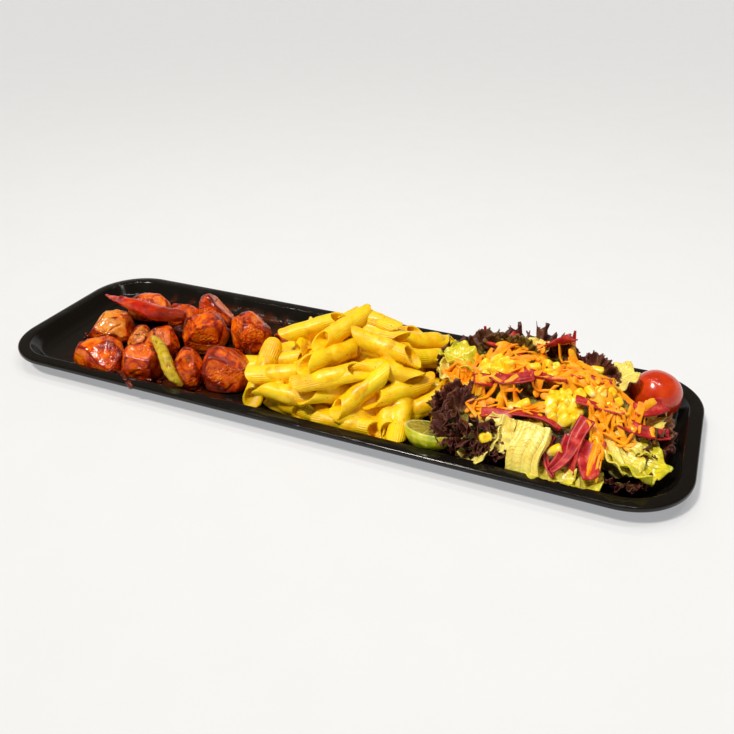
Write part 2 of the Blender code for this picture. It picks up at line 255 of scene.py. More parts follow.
# Sweetcorn kernels: middle of the clump (mm), how many along and across, heading (degrees)
CORN_CLUMPS = (
    ((103, -4), 2, 2, 20),
    ((111, -7), 2, 2, 70),
    ((104, -13), 1, 2, 40),
    ((115, -19), 2, 1, 80),
    ((131, -1), 2, 1, 10),
    ((138, -2), 1, 1, 60),
    ((126, -29), 2, 1, 50),
    ((148, -16), 3, 2, 20),
    ((149, -26), 3, 3, 15),
    ((163, -8), 2, 1, 30),
    ((169, -6), 2, 2, 60),
    ((150, -47), 1, 1, 10),
    ((174, -22), 1, 1, 70),
    ((135, 10), 2, 1, 20),
    ((113, -52), 1, 1, 40),
    ((112, 26), 1, 2, 30),
    ((158, 26), 1, 1, 50),
)
# How far apart kernels stand along and across a clump (mm)
CORN_ALONG, CORN_ACROSS = 6.4, 5.0

# The stage: the floor and the round backdrop, and the small warm lamps above the food (m, W)
FLOOR_SIZE = 30
BACKDROP_RADIUS = 14
BACKDROP_HEIGHT = 5
BACKDROP_GLOW = 0.45
SPOTS = (
    (-0.42, 0.16, 0.75),
    (-0.26, -0.06, 0.80),
    (-0.12, -0.24, 0.85),
    (-0.08, 0.22, 0.78),
    (0.20, 0.26, 0.80),
    (0.36, -0.08, 0.72),
)
SPOT_SIZE = 0.024
SPOT_POWER = 0.36

# The camera: its place, the point it looks at (m) and its roll (degrees)
CAMERA_PLACE = (0.19432, -0.38174, 0.26648)
CAMERA_AIM = (0.0206, 0.0055, 0.0125)
CAMERA_ROLL = -1.02


# --------------------------------------------------------------------------------------------
# Settings


class TraySettings(bpy.types.PropertyGroup):
    rim: bpy.props.FloatProperty(
        name="Rim", description="Width of the flat rim", default=6.8 * MM, unit="LENGTH"
    )
    corner: bpy.props.FloatProperty(
        name="Corner", description="Radius of the corners", default=37 * MM, unit="LENGTH"
    )
    colour: bpy.props.FloatVectorProperty(
        name="Colour",
        description="Colour of the melamine",
        subtype="COLOR",
        default=(0.0065, 0.0050, 0.0038),
    )


class ChickenSettings(bpy.types.PropertyGroup):
    detail: bpy.props.FloatProperty(
        name="Detail", description="Size of the finest facets", default=0.75 * MM, unit="LENGTH"
    )
    fold: bpy.props.FloatProperty(
        name="Folds", description="Depth of the folds in the meat", default=0.75 * MM, unit="LENGTH"
    )
    glaze: bpy.props.FloatVectorProperty(
        name="Glaze",
        description="Colour of the glaze where it is thick",
        subtype="COLOR",
        default=(0.19, 0.011, 0.0005),
    )
    meat: bpy.props.FloatVectorProperty(
        name="Meat",
        description="Colour of bare meat",
        subtype="COLOR",
        default=(0.95, 0.38, 0.05),
    )


class PastaSettings(bpy.types.PropertyGroup):
    radius: bpy.props.FloatProperty(
        name="Radius", description="Outer radius of a tube", default=5.6 * MM, unit="LENGTH"
    )
    length: bpy.props.FloatProperty(
        name="Length", description="Length of a tube, tip to tip", default=46 * MM, unit="LENGTH"
    )
    wall: bpy.props.FloatProperty(
        name="Wall", description="Thickness of the pasta", default=1.2 * MM, unit="LENGTH"
    )
    colour: bpy.props.FloatVectorProperty(
        name="Pasta",
        description="Colour of the coated pasta",
        subtype="COLOR",
        default=(0.98, 0.60, 0.002),
    )
    sauce: bpy.props.FloatVectorProperty(
        name="Sauce",
        description="Colour of the cream sauce",
        subtype="COLOR",
        default=(0.97, 0.59, 0.004),
    )


class SaladSettings(bpy.types.PropertyGroup):
    shred: bpy.props.FloatProperty(
        name="Shred", description="Width of a carrot shred", default=3.0 * MM, unit="LENGTH"
    )
    kernel: bpy.props.FloatProperty(
        name="Kernel", description="Length of a corn kernel", default=9 * MM, unit="LENGTH"
    )
    carrot: bpy.props.FloatVectorProperty(
        name="Carrot",
        description="Colour of the carrot",
        subtype="COLOR",
        default=(1.0, 0.37, 0.004),
    )
    corn: bpy.props.FloatVectorProperty(
        name="Sweetcorn",
        description="Colour of the corn",
        subtype="COLOR",
        default=(1.0, 0.68, 0.015),
    )


class StageSettings(bpy.types.PropertyGroup):
    lens: bpy.props.FloatProperty(
        name="Lens", description="Focal length of the camera in mm", default=38.17
    )
    floor: bpy.props.FloatVectorProperty(
        name="Floor",
        description="Colour of the floor",
        subtype="COLOR",
        default=(0.51, 0.52, 0.535),
    )


# --------------------------------------------------------------------------------------------
# Shader maths


class Value:
    """A number from a shader socket, for use in arithmetic."""

    def __init__(self, finish, socket):
        self.finish = finish
        self.socket = socket

    def maths(self, operation, *others):
        terms = dict(enumerate((self, *others)))
        return self.finish.node("ShaderNodeMath", {"operation": operation}, terms)

    def __add__(self, other):
        return self.maths("ADD", other)

    def __mul__(self, other):
        return self.maths("MULTIPLY", other)

    def __sub__(self, other):
        return self.maths("SUBTRACT", other)

    def __rsub__(self, other):
        return self.finish.node("ShaderNodeMath", {"operation": "SUBTRACT"}, {0: other, 1: self})

    def __truediv__(self, other):
        return self.maths("DIVIDE", other)

    def __pow__(self, other):
        return self.maths("POWER", other)

    __radd__ = __add__
    __rmul__ = __mul__

    def between(self, low, high):
        """A soft step: 0 up to low, 1 from high on."""
        ends = {"Value": self, "From Min": low, "From Max": high}
        return self.finish.node("ShaderNodeMapRange", {"interpolation_type": "SMOOTHSTEP"}, ends)


class Finish:
    """A procedural material and the nodes it is made of."""

    def __init__(self, name):
        self.material = bpy.data.materials.new(name)
        self.material.use_nodes = True
        self.tree = self.material.node_tree
        self.shader = self.tree.nodes["Principled BSDF"]
        self.place = self.node("ShaderNodeTexCoord", output="Object")

    def node(self, kind, settings=None, values=None, output=0):
        """Adds a node: its settings first, then the values or links of its sockets."""
        made = self.tree.nodes.new(kind)
        for name, setting in (settings or {}).items():
            if name == "stops":
                self.set_stops(made.color_ramp, setting)
            else:
                setattr(made, name, setting)
        for name, value in (values or {}).items():
            self.feed(made.inputs[name], value)
        return Value(self, made.outputs[output])

    def set_stops(self, ramp, stops):
        while len(ramp.elements) < len(stops):
            ramp.elements.new(1)
        for element, (position, colour) in zip(ramp.elements, stops):
            element.position = position
            element.color = (*colour, 1)

    def feed(self, socket, value):
        if isinstance(value, Value):
            self.tree.links.new(value.socket, socket)
        elif isinstance(value, (int, float)) or not hasattr(socket.default_value, "__len__"):
            socket.default_value = value
        else:
            wanted = len(socket.default_value)
            socket.default_value = (*value, 1)[:wanted]

    def noise(self, size, detail=3, roughness=0.5, distortion=0, where=None):
        """Noise whose features are about this size in metres."""
        values = {
            "Vector": where or self.place,
            "Scale": 1 / size,
            "Detail": detail,
            "Roughness": roughness,
            "Distortion": distortion,
        }
        return self.node("ShaderNodeTexNoise", None, values)

    def cells(self, size, where=None, feature="F1"):
        values = {"Vector": where or self.place, "Scale": 1 / size}
        return self.node("ShaderNodeTexVoronoi", {"feature": feature}, values)

    def stretched(self, scale, turn=(0, 0, 0), centre=(0, 0, 0), source=None):
        """The place, turned and scaled, so that a pattern runs along the piece."""
        values = {
            "Vector": source or self.place,
            "Location": centre,
            "Rotation": turn,
            "Scale": scale,
        }
        return self.node("ShaderNodeMapping", None, values)

    def attribute(self, name):
        return self.node("ShaderNodeAttribute", {"attribute_name": name}, None, "Fac")

    def axis(self, name, source=None):
        values = {"Vector": source or self.place}
        return self.node("ShaderNodeSeparateXYZ", None, values, name)

    def chart(self):
        """The piece's own UV map."""
        return self.node("ShaderNodeUVMap", None, None)

    def blend(self, share, first, second):
        """A mix of two colours."""
        values = {0: share, 6: first, 7: second}
        return self.node("ShaderNodeMix", {"data_type": "RGBA"}, values, 2)

    def ramp(self, share, stops):
        return self.node("ShaderNodeValToRGB", {"stops": stops}, {"Fac": share})

    def relief(self, height, depth, strength=1.0, under=None):
        """Bumps of this depth in metres."""
        values = {"Height": height, "Distance": depth, "Strength": strength}
        if under:
            values["Normal"] = under
        return self.node("ShaderNodeBump", None, values)

    def surface(self, **values):
        """Sets the shader's sockets; an underscore stands for a space."""
        for name, value in values.items():
            self.feed(self.shader.inputs[name.replace("_", " ")], value)
        return self.material


# --------------------------------------------------------------------------------------------
# Modelling


def mm(values):
    return Vector(values) * MM


def radians(degrees):
    return [math.radians(angle) for angle in degrees]


def deselect():
    for shown in bpy.context.selected_objects:
        shown.select_set(False)


def only(piece):
    """Makes a piece the one that operators act on."""
    deselect()
    piece.select_set(True)
    bpy.context.view_layer.objects.active = piece


def edit(piece):
    only(piece)
    bpy.ops.object.mode_set(mode="EDIT")
    bpy.ops.mesh.select_all(action="SELECT")


def leave_edit():
    bpy.ops.object.mode_set(mode="OBJECT")


def add_modifier(piece, kind, **settings):
    modifier = piece.modifiers.new(kind.title(), kind)
    for name, value in settings.items():
        setattr(modifier, name, value)
    return modifier


def apply_modifiers(piece):
    only(piece)
    for modifier in list(piece.modifiers):
        bpy.ops.object.modifier_apply(modifier=modifier.name)


def apply_place(piece):
    only(piece)
    bpy.ops.object.transform_apply(location=True, rotation=True, scale=True)


def copy_at(model, matrix):
    """A copy of a model, with its own mesh, moved there."""
    made = bpy.data.objects.new(model.name, model.data.copy())
    made.data.transform(matrix)
    bpy.context.scene.collection.objects.link(made)
    return made


def remove(pieces):
    for piece in pieces:
        bpy.data.objects.remove(piece)


def join(pieces, name):
    """Joins pieces into one; the first keeps its materials."""
    deselect()
    for piece in pieces:
        piece.select_set(True)
    bpy.context.view_layer.objects.active = pieces[0]
    bpy.ops.object.join()
    pieces[0].name = name
    pieces[0].data.name = name
    return pieces[0]


def tray_height(points):
    """The height of the tray's upper side under each point, and how far in from its edge it is."""
    profile = np.array(tray_profiles(bpy.context.scene.meal_tray.rim)[0])
    corner = bpy.context.scene.meal_tray.corner
    half = np.array((TRAY_HIGH.x, TRAY_HIGH.y)) - corner
    beyond = np.abs(points[:, :2]) - half
    inset = corner - np.linalg.norm(np.maximum(beyond, 0), axis=1) - np.minimum(beyond.max(1), 0)
    return np.interp(inset, profile[:, 0], profile[:, 1]), inset


def keep_on_tray(piece, softness=0.35 * MM, gap=0.05 * MM):
    """Presses what would pass through the tray up against it."""
    points = points_of(piece)
    height, inset = tray_height(points)
    above = points[:, 2] - height
    pressed = softness * np.log1p(np.exp(np.clip(above, -0.02, 0.002) / softness)) + gap
    low = (inset > 0.2 * MM) & (above < 1.5 * MM)
    points[low, 2] = (height + pressed)[low]
    piece.data.vertices.foreach_set("co", points.ravel())
    piece.data.update()


def dress(piece, material, slot, *nodes, sharp=None):
    """Gives a finished piece its material and its place in the frame."""
    if slot != "tray":
        keep_on_tray(piece)
    if material:
        piece.data.materials.clear()
        piece.data.materials.append(material)
    only(piece)
    if sharp:
        bpy.ops.object.shade_smooth_by_angle(angle=math.radians(sharp))
    else:
        bpy.ops.object.shade_smooth()
    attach(piece, "root")
    if nodes:
        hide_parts(*nodes)
    return piece


def from_node(name, node, facet, smoothing=2):
    """A finely divided copy of a solid of the frame."""
    piece = bpy.data.objects.new(name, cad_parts[node].data.copy())
    bpy.context.scene.collection.objects.link(piece)
    edit(piece)
    bpy.ops.mesh.remove_doubles(threshold=0.01 * MM)
    leave_edit()
    add_modifier(piece, "REMESH", mode="VOXEL", voxel_size=facet)
    add_modifier(piece, "SMOOTH", factor=0.5, iterations=smoothing)
    apply_modifiers(piece)
    return piece


def push(piece, depth):
    """Moves each point along its normal by depth(place, normal)."""
    mesh = piece.data
    normals = [vertex.normal.copy() for vertex in mesh.vertices]
    for vertex, normal in zip(mesh.vertices, normals):
        vertex.co += normal * depth(vertex.co, normal)
    mesh.update()


def store(piece, name, values):
    """Keeps a number for each point, for the material."""
    layer = piece.data.attributes.new(name, "FLOAT", "POINT")
    layer.data.foreach_set("value", values)


def step(low, high, value):
    """A soft step from 0 at low to 1 at high."""
    share = min(max((value - low) / (high - low), 0), 1)
    return share * share * (3 - 2 * share)


def upright(place, heading, rise, roll=0):
    """A matrix that puts X along a heading and rise, in degrees, at a place in metres."""
    aimed = Euler(radians((0, -rise, heading))).to_matrix()
    rolled = Euler(radians((roll, 0, 0))).to_matrix()
    return Matrix.Translation(place) @ (aimed @ rolled).to_4x4()


def tree_of(mesh):
    places = [vertex.co for vertex in mesh.vertices]
    return BVHTree.FromPolygons(places, [tuple(face.vertices) for face in mesh.polygons])


class Pile:
    """The height of all that lies in a stretch of the tray, on a square grid seen from above."""

    CELL = 1.0 * MM
    ABOVE = 120 * MM

    def __init__(self, low, high, pieces):
        margin = 12 * MM
        self.corner = np.array([low.x - margin, low.y - margin])
        counts = (np.array([high.x - low.x, high.y - low.y]) + 2 * margin) / self.CELL
        self.top = np.full(counts.astype(int) + 1, FLOOR_TOP)
        trees = [tree_of(piece.data) for piece in pieces]
        for (i, j), _ in np.ndenumerate(self.top):
            x, y = self.corner + np.array([i, j]) * self.CELL
            for tree in trees:
                hit = tree.ray_cast(Vector((x, y, self.ABOVE)), Vector((0, 0, -1)))[0]
                if hit:
                    self.top[i, j] = max(self.top[i, j], hit.z)

    def cells(self, points):
        found = np.rint((points[:, :2] - self.corner) / self.CELL).astype(int)
        return tuple(np.clip(found, 1, np.array(self.top.shape) - 2).T)

    def height(self, points):
        """The mean of the nine cells around each point."""
        i, j = self.cells(points)
        around = [self.top[i + a, j + b] for a in (-1, 0, 1) for b in (-1, 0, 1)]
        return np.mean(around, axis=0)

    def lay(self, piece):
        """Adds a piece to the pile."""
        points = points_of(piece)
        i, j = self.cells(points)
        for a in (-1, 0, 1):
            for b in (-1, 0, 1):
                np.maximum.at(self.top, (i + a, j + b), points[:, 2] - 0.3 * MM * (abs(a) + abs(b)))

    def drop(self, piece, sink, roof):
        """Lets a piece down onto the pile, a little into it and not far above the roof."""
        points = points_of(piece)
        i, j = self.cells(points)
        lift = np.max(self.top[i, j] - points[:, 2]) - sink
        crown = points[points[:, 2].argmax()]
        lift = min(lift, roof.height(crown[None])[0] + 2 * MM - crown[2])
        piece.data.transform(Matrix.Translation((0, 0, lift)))
        self.lay(piece)


def points_of(piece):
    points = np.empty(len(piece.data.vertices) * 3)
    piece.data.vertices.foreach_get("co", points)
    return points.reshape(-1, 3)


def follow(piece, path, side_turn=None):
    """Bends a piece, modelled along X from 0 to 1, so that it follows a path of points."""
    last = len(path) - 1
    spans = [path[min(k + 1, last)] - path[max(k - 1, 0)] for k in range(last + 1)]
    tangents = [span.normalized() for span in spans]
    for vertex in piece.data.vertices:
        along = min(max(vertex.co.x, 0), 1) * last
        k = min(int(along), last - 1)
        share = along - k
        ahead = tangents[k].lerp(tangents[k + 1], share).normalized()
        side = Vector((0, 0, 1)).cross(ahead)
        side = side.normalized() if side.length > 0.15 else Vector((1, 0, 0))
        if side_turn:
            side = Quaternion(ahead, side_turn(along / last)) @ side
        up = ahead.cross(side)
        vertex.co = path[k].lerp(path[k + 1], share) + side * vertex.co.y + up * vertex.co.z
    return piece


# --------------------------------------------------------------------------------------------
# Materials


def melamine(colour):
    finish = Finish("black melamine")
    smears = finish.noise(22 * MM, 4, 0.6, 1.0)
    dust = finish.noise(0.5 * MM, 2)
    x, y = finish.axis("X"), finish.axis("Y")
    near_chicken = x.between(-0.190, -0.165) * (1 - x.between(-0.070, -0.030))
    above = 1 - finish.axis("Z").between(0.0045, 0.009)
    pool = finish.noise(24 * MM, 5, 0.6, 0.8).between(0.45, 0.56) * near_chicken * above
    by_pasta = x.between(0.055, 0.070) * (1 - x.between(0.082, 0.095)) * y.between(0.025, 0.035)
    pool = pool + by_pasta * above * 0.8
    base = finish.blend(pool, colour, (0.052, 0.010, 0.002))
    rough = 0.10 + smears.between(0.45, 0.75) * 0.14 + dust * 0.03
    film = finish.noise(1.6 * MM, 3) * pool
    return finish.surface(
        Base_Color=base,
        Roughness=rough,
        Specular_IOR_Level=0.30,
        Normal=finish.relief(film, 0.25 * MM, 0.6),
    )


def glazed_meat(glaze, meat):
    finish = Finish("glazed chicken")
    hollow = finish.attribute("hollow")
    bare = finish.attribute("bare")
    edge = finish.attribute("edge")
    broad = finish.noise(11 * MM, 4, 0.55, 0.8)
    fine = finish.noise(2.2 * MM, 5, 0.65)
    rim = edge.between(0.15, 0.85) * finish.noise(7 * MM, 3).between(0.35, 0.55)
    brown = finish.noise(26 * MM, 2).between(0.50, 0.62)
    thin = finish.ramp(
        broad * 0.78 + fine * 0.22 - rim * 0.15 - brown * 0.06,
        (
            (0.33, glaze),
            (0.42, (0.45, 0.030, 0.0005)),
            (0.51, (0.77, 0.108, 0.0005)),
            (0.62, (0.94, 0.23, 0.003)),
        ),
    )
    shown = (bare * 1.1 + fine * 0.5 - 0.55 - rim * 0.4).between(0.1, 0.55)
    cooked = finish.blend(finish.noise(5 * MM, 3).between(0.4, 0.7), meat, (0.84, 0.22, 0.015))
    outer = finish.blend(shown * 0.9, thin, cooked)
    # Painted shade: the colour darkens towards dark red-brown in concave folds and where the stored
    # painted shade lies, in the creases and at the chunk's foot.
    folds = 1 - (edge + 1.0).between(0.30, 0.75)
    deep = finish.blend((hollow + folds * 0.3).between(0.25, 0.95), outer, (0.17, 0.014, 0.001))
    bubbles = finish.cells(1.5 * MM)
    frothy = finish.noise(12 * MM, 2, 0.5).between(0.46, 0.58)
    sparkle = (1 - bubbles.between(0.1, 0.75)) * frothy
    ripple = finish.noise(1.5 * MM, 1) * 0.30 + finish.noise(3.8 * MM, 2) * 0.8
    grain = finish.relief(ripple, 0.75 * MM, 0.9)
    return finish.surface(
        Base_Color=deep,
        Roughness=0.09 + finish.noise(5 * MM, 3).between(0.42, 0.62) * 0.11,
        Specular_IOR_Level=0.38,
        Subsurface_Weight=0.06,
        Subsurface_Radius=(0.004, 0.0012, 0.0005),
        Subsurface_Scale=1.0,
        Normal=finish.relief(sparkle, 0.7 * MM, 0.8, grain),
    )


def dark_sauce():
    finish = Finish("dark glaze")
    body = finish.noise(5 * MM, 4)
    colour = finish.ramp(body, ((0.35, (0.030, 0.003, 0.0006)), (0.65, (0.16, 0.014, 0.001))))
    return finish.surface(
        Base_Color=colour,
        Roughness=0.12,
        Specular_IOR_Level=0.45,
        Normal=finish.relief(finish.noise(1.4 * MM, 3), 0.4 * MM, 0.6),
    )


def red_skin():
    finish = Finish("chilli skin")
    along = finish.noise(7 * MM, 4, 0.5, 0.6, finish.stretched((0.35, 1, 1)))
    colour = finish.ramp(
        along,
        ((0.30, (0.24, 0.006, 0.0005)), (0.50, (0.56, 0.018, 0.0008)), (0.68, (0.72, 0.08, 0.003))),
    )
    glazed = finish.axis("X").between(-0.140, -0.118)
    colour = finish.blend(glazed * 0.7, colour, (0.16, 0.014, 0.003))
    wrinkles = finish.noise(1.8 * MM, 3, 0.5, 0, finish.stretched((0.5, 1, 1)))
    return finish.surface(
        Base_Color=colour,
        Roughness=0.16,
        Specular_IOR_Level=0.32,
        Normal=finish.relief(wrinkles, 0.8 * MM, 0.8),
    )


def green_skin():
    finish = Finish("fried green pepper")
    mottle = finish.noise(5 * MM, 4, 0.6)
    colour = finish.ramp(
        mottle,
        (
            (0.3, (0.36, 0.23, 0.004)),
            (0.5, (0.58, 0.40, 0.010)),
            (0.7, (0.72, 0.54, 0.04)),
        ),
    )
    stained = finish.noise(6 * MM, 3, 0.6, 0.5).between(0.56, 0.68)
    low = 1 - finish.axis("Z").between(0.010, 0.016)
    colour = finish.blend(stained * 0.8 + low * 0.8, colour, (0.30, 0.055, 0.006))
    return finish.surface(
        Base_Color=colour,
        Roughness=0.28,
        Specular_IOR_Level=0.4,
        Normal=finish.relief(finish.noise(1.5 * MM, 4), 0.5 * MM, 0.7),
    )


def pepper_specks(finish):
    """Where ground pepper lies: 1 on a speck."""
    specks = 1 - finish.cells(4.2 * MM).between(0.07, 0.12)
    return specks * finish.noise(9 * MM, 2).between(0.46, 0.56)


def pasta_skin(colour):
    finish = Finish("penne")
    broad = finish.noise(13 * MM, 3, 0.5)
    fine = finish.noise(2.5 * MM, 4, 0.6)
    warm = finish.ramp(
        broad * 0.7 + fine * 0.3,
        ((0.35, (0.88, 0.42, 0.001)), (0.50, tuple(colour)), (0.66, (1.0, 0.69, 0.012))),
    )
    left = 1 - finish.axis("X").between(-0.044, -0.036)
    behind = finish.axis("Y").between(-0.014, -0.006)
    stain = (left * finish.noise(5 * MM, 3).between(0.35, 0.5)) * behind
    warm = finish.blend(stain, warm, (0.45, 0.06, 0.008))
    spotted = finish.blend(pepper_specks(finish) * 0.85, warm, (0.10, 0.07, 0.02))
    around = finish.axis("X", finish.chart())
    ridges = (around * PENNE_RIDGES * math.tau).maths("SINE")
    worn = finish.noise(18 * MM, 2).between(0.42, 0.62)
    coat = finish.relief(fine, 0.35 * MM, 0.6)
    return finish.surface(
        Base_Color=spotted,
        Roughness=0.26 + fine * 0.2,
        Specular_IOR_Level=0.34,
        Subsurface_Weight=0.25,
        Subsurface_Radius=(0.004, 0.0025, 0.0006),
        Subsurface_Scale=1.0,
        Normal=finish.relief(ridges * worn, 0.16 * MM, 0.55, coat),
    )


def cream_sauce(colour):
    finish = Finish("yellow cream sauce")
    broad = finish.noise(8 * MM, 4, 0.55, 0.5)
    warm = finish.ramp(
        broad, ((0.32, (0.78, 0.38, 0.002)), (0.50, tuple(colour)), (0.70, (0.98, 0.68, 0.02)))
    )
    spotted = finish.blend(pepper_specks(finish) * 0.85, warm, (0.10, 0.07, 0.02))
    return finish.surface(
        Base_Color=spotted,
        Roughness=0.22 + finish.noise(3 * MM, 3) * 0.2,
        Specular_IOR_Level=0.42,
        Subsurface_Weight=0.2,
        Subsurface_Radius=(0.004, 0.0028, 0.0008),
        Subsurface_Scale=1.0,
        Normal=finish.relief(finish.noise(2.2 * MM, 4), 0.5 * MM, 0.5),
    )


def leaf_veins(finish, spread=9.0):
    """Veins that branch off the midrib of a leaf, from its own chart."""
    across = (finish.axis("X", finish.chart()) - 0.5).maths("ABSOLUTE")
    along = finish.axis("Y", finish.chart())
    wander = finish.noise(9 * MM, 3) * 0.5
    wave = ((along - across * 0.9 + wander * 0.4) * spread * math.tau).maths("SINE")
    branch = wave.maths("ABSOLUTE")
    rib = 1 - across.between(0.01, 0.05)
    return (1 - branch.between(0.02, 0.22)).maths("MAXIMUM", rib)


def frilly_leaf():
    finish = Finish("frilly red leaf")
    along = finish.axis("Y", finish.chart())
    green = finish.attribute("green")
    mottle = finish.noise(4 * MM, 4, 0.6)
    red = finish.ramp(
        mottle,
        (
            (0.3, (0.040, 0.007, 0.005)),
            (0.52, (0.095, 0.020, 0.012)),
            (0.72, (0.24, 0.070, 0.035)),
        ),
    )
    pale = finish.ramp(mottle, ((0.3, (0.090, 0.070, 0.008)), (0.7, (0.32, 0.24, 0.04))))
    share = (1 - along.between(0.05, 0.55)) * 0.65 + green * 0.75 + (mottle - 0.5) * 0.5
    colour = finish.blend(share.between(0.25, 0.85), red, pale)
    veins = leaf_veins(finish, 5)
    colour = finish.blend(veins * 0.25, colour, (0.28, 0.13, 0.06))
    return finish.surface(
        Base_Color=colour,
        Roughness=0.34 + mottle * 0.2,
        Specular_IOR_Level=0.4,
        Normal=finish.relief(finish.noise(1.6 * MM, 4), 0.6 * MM, 0.8),
    )


def lettuce_leaf():
    finish = Finish("pale lettuce")
    along = finish.axis("Y", finish.chart())
    green = finish.attribute("green")
    mottle = finish.noise(6 * MM, 4, 0.55)
    white = finish.ramp(mottle, ((0.3, (0.86, 0.62, 0.09)), (0.6, (0.98, 0.84, 0.22))))
    leafy = finish.ramp(
        mottle,
        (
            (0.3, (0.40, 0.42, 0.010)),
            (0.55, (0.76, 0.66, 0.02)),
            (0.75, (0.93, 0.80, 0.09)),
        ),
    )
    share = green * 0.9 + (along - 0.5) * 0.5 + (mottle - 0.5) * 0.5
    colour = finish.blend(share.between(0.15, 0.75), white, leafy)
    veins = leaf_veins(finish, 6)
    colour = finish.blend(veins * 0.5, colour, (0.95, 0.84, 0.24))
    veined = finish.relief(veins, 0.7 * MM, 0.7)
    return finish.surface(
        Base_Color=colour,
        Roughness=0.26,
        Specular_IOR_Level=0.45,
        Subsurface_Weight=0.2,
        Subsurface_Radius=(0.002, 0.003, 0.0006),
        Subsurface_Scale=1.0,
        Normal=finish.relief(finish.noise(2.0 * MM, 4), 0.5 * MM, 0.6, veined),
    )


def red_strip():
    finish = Finish("red leaf strips")
    mottle = finish.noise(5 * MM, 4, 0.6)
    colour = finish.ramp(
        mottle,
        (
            (0.28, (0.20, 0.004, 0.006)),
            (0.5, (0.44, 0.014, 0.018)),
            (0.72, (0.68, 0.10, 0.07)),
        ),
    )
    along = finish.axis("Y", finish.chart())
    streaks = finish.noise(1.4 * MM, 3, 0.5, 0, finish.stretched((0.3, 1, 1)))
    colour = finish.blend(streaks.between(0.62, 0.8) * 0.18 * along, colour, (0.80, 0.30, 0.20))
    return finish.surface(
        Base_Color=colour,
        Roughness=0.28 + mottle * 0.15,
        Specular_IOR_Level=0.35,
        Normal=finish.relief(streaks, 0.25 * MM, 0.5),
    )


def carrot_flesh(colour):
    finish = Finish("carrot")
    mottle = finish.noise(7 * MM, 3, 0.5)
    tone = finish.ramp(
        mottle, ((0.30, (1.0, 0.24, 0.001)), (0.50, tuple(colour)), (0.70, (1.0, 0.50, 0.015)))
    )
    streaks = finish.noise(0.8 * MM, 3)
    return finish.surface(
        Base_Color=tone,
        Roughness=0.38 + streaks * 0.15,
        Specular_IOR_Level=0.35,
        Subsurface_Weight=0.15,
        Subsurface_Radius=(0.003, 0.001, 0.0004),
        Subsurface_Scale=1.0,
        Normal=finish.relief(streaks, 0.3 * MM, 0.6),
    )


def corn_skin(colour):
    finish = Finish("sweetcorn")
    height = finish.attribute("root")
    mottle = finish.noise(4 * MM, 3, 0.5)
    tone = finish.ramp(
        mottle,
        (
            (0.32, (1.0, 0.55, 0.004)),
            (0.50, tuple(colour)),
            (0.68, (1.0, 0.80, 0.10)),
        ),
    )
    tone = finish.blend(height * 0.8, tone, (0.95, 0.78, 0.26))
    return finish.surface(
        Base_Color=tone,
        Roughness=0.24,
        Specular_IOR_Level=0.5,
        Subsurface_Weight=0.2,
        Subsurface_Radius=(0.003, 0.0022, 0.0006),
        Subsurface_Scale=1.0,
        Normal=finish.relief(finish.noise(1.5 * MM, 2), 0.25 * MM, 0.5),
    )


def tomato_skin():
    finish = Finish("tomato skin")
    broad = finish.noise(9 * MM, 3, 0.5)
    colour = finish.ramp(
        broad,
        (
            (0.32, (0.50, 0.022, 0.001)),
            (0.55, (0.64, 0.042, 0.004)),
            (0.75, (0.74, 0.080, 0.008)),
        ),
    )
    flecks = finish.cells(1.3 * MM)
    colour = finish.blend((1 - flecks.between(0.08, 0.22)) * 0.18, colour, (0.72, 0.16, 0.01))
    return finish.surface(
        Base_Color=colour,
        Roughness=0.20,
        Coat_Weight=0.3,
        Coat_Roughness=0.08,
        Subsurface_Weight=0.12,
        Subsurface_Radius=(0.004, 0.0008, 0.0003),
        Subsurface_Scale=1.0,
        Normal=finish.relief(finish.noise(3 * MM, 2), 0.12 * MM, 0.4),
    )


def lime_rind():
    finish = Finish("lime rind")
    broad = finish.noise(8 * MM, 3, 0.5, 0.4)
    colour = finish.ramp(
        broad,
        (
            (0.30, (0.34, 0.42, 0.003)),
            (0.5, (0.66, 0.66, 0.010)),
            (0.72, (0.88, 0.82, 0.09)),
        ),
    )
    pores = finish.cells(0.9 * MM)
    return finish.surface(
        Base_Color=colour,
        Roughness=0.28,
        Coat_Weight=0.6,
        Coat_Roughness=0.1,
        Subsurface_Weight=0.1,
        Subsurface_Radius=(0.002, 0.002, 0.0005),
        Subsurface_Scale=1.0,
        Normal=finish.relief(pores.between(0.0, 0.4), 0.15 * MM, 0.7),
    )


def lime_flesh(centre):
    """Wet flesh in segments that meet in the middle, inside a pale ring of pith."""
    finish = Finish("lime flesh")
    local = finish.stretched((1, 1, 1), centre=-centre)
    x, y = finish.axis("X", local), finish.axis("Y", local)
    turn = y.maths("ARCTAN2", x)
    split = (turn * 4).maths("SINE").maths("ABSOLUTE")
    reach = ((x * x) / (0.0150**2) + (y * y) / (0.0125**2)).maths("SQRT")
    pith = reach.between(0.80, 0.87).maths("MAXIMUM", 1 - split.between(0.04, 0.16))
    vesicles = finish.noise(2.4 * MM, 3, 0.5, 0, local)
    flesh = finish.ramp(vesicles, ((0.3, (0.16, 0.17, 0.012)), (0.7, (0.36, 0.35, 0.06))))
    colour = finish.blend(pith, flesh, (0.60, 0.58, 0.20))
    colour = finish.blend(reach.between(0.93, 0.98), colour, (0.34, 0.38, 0.01))
    return finish.surface(
        Base_Color=colour,
        Roughness=0.22,
        Coat_Weight=0.8,
        Coat_Roughness=0.08,
        Subsurface_Weight=0.2,
        Subsurface_Radius=(0.002, 0.002, 0.0008),
        Subsurface_Scale=1.0,
        Normal=finish.relief(vesicles, 0.6 * MM, 0.7),
    )


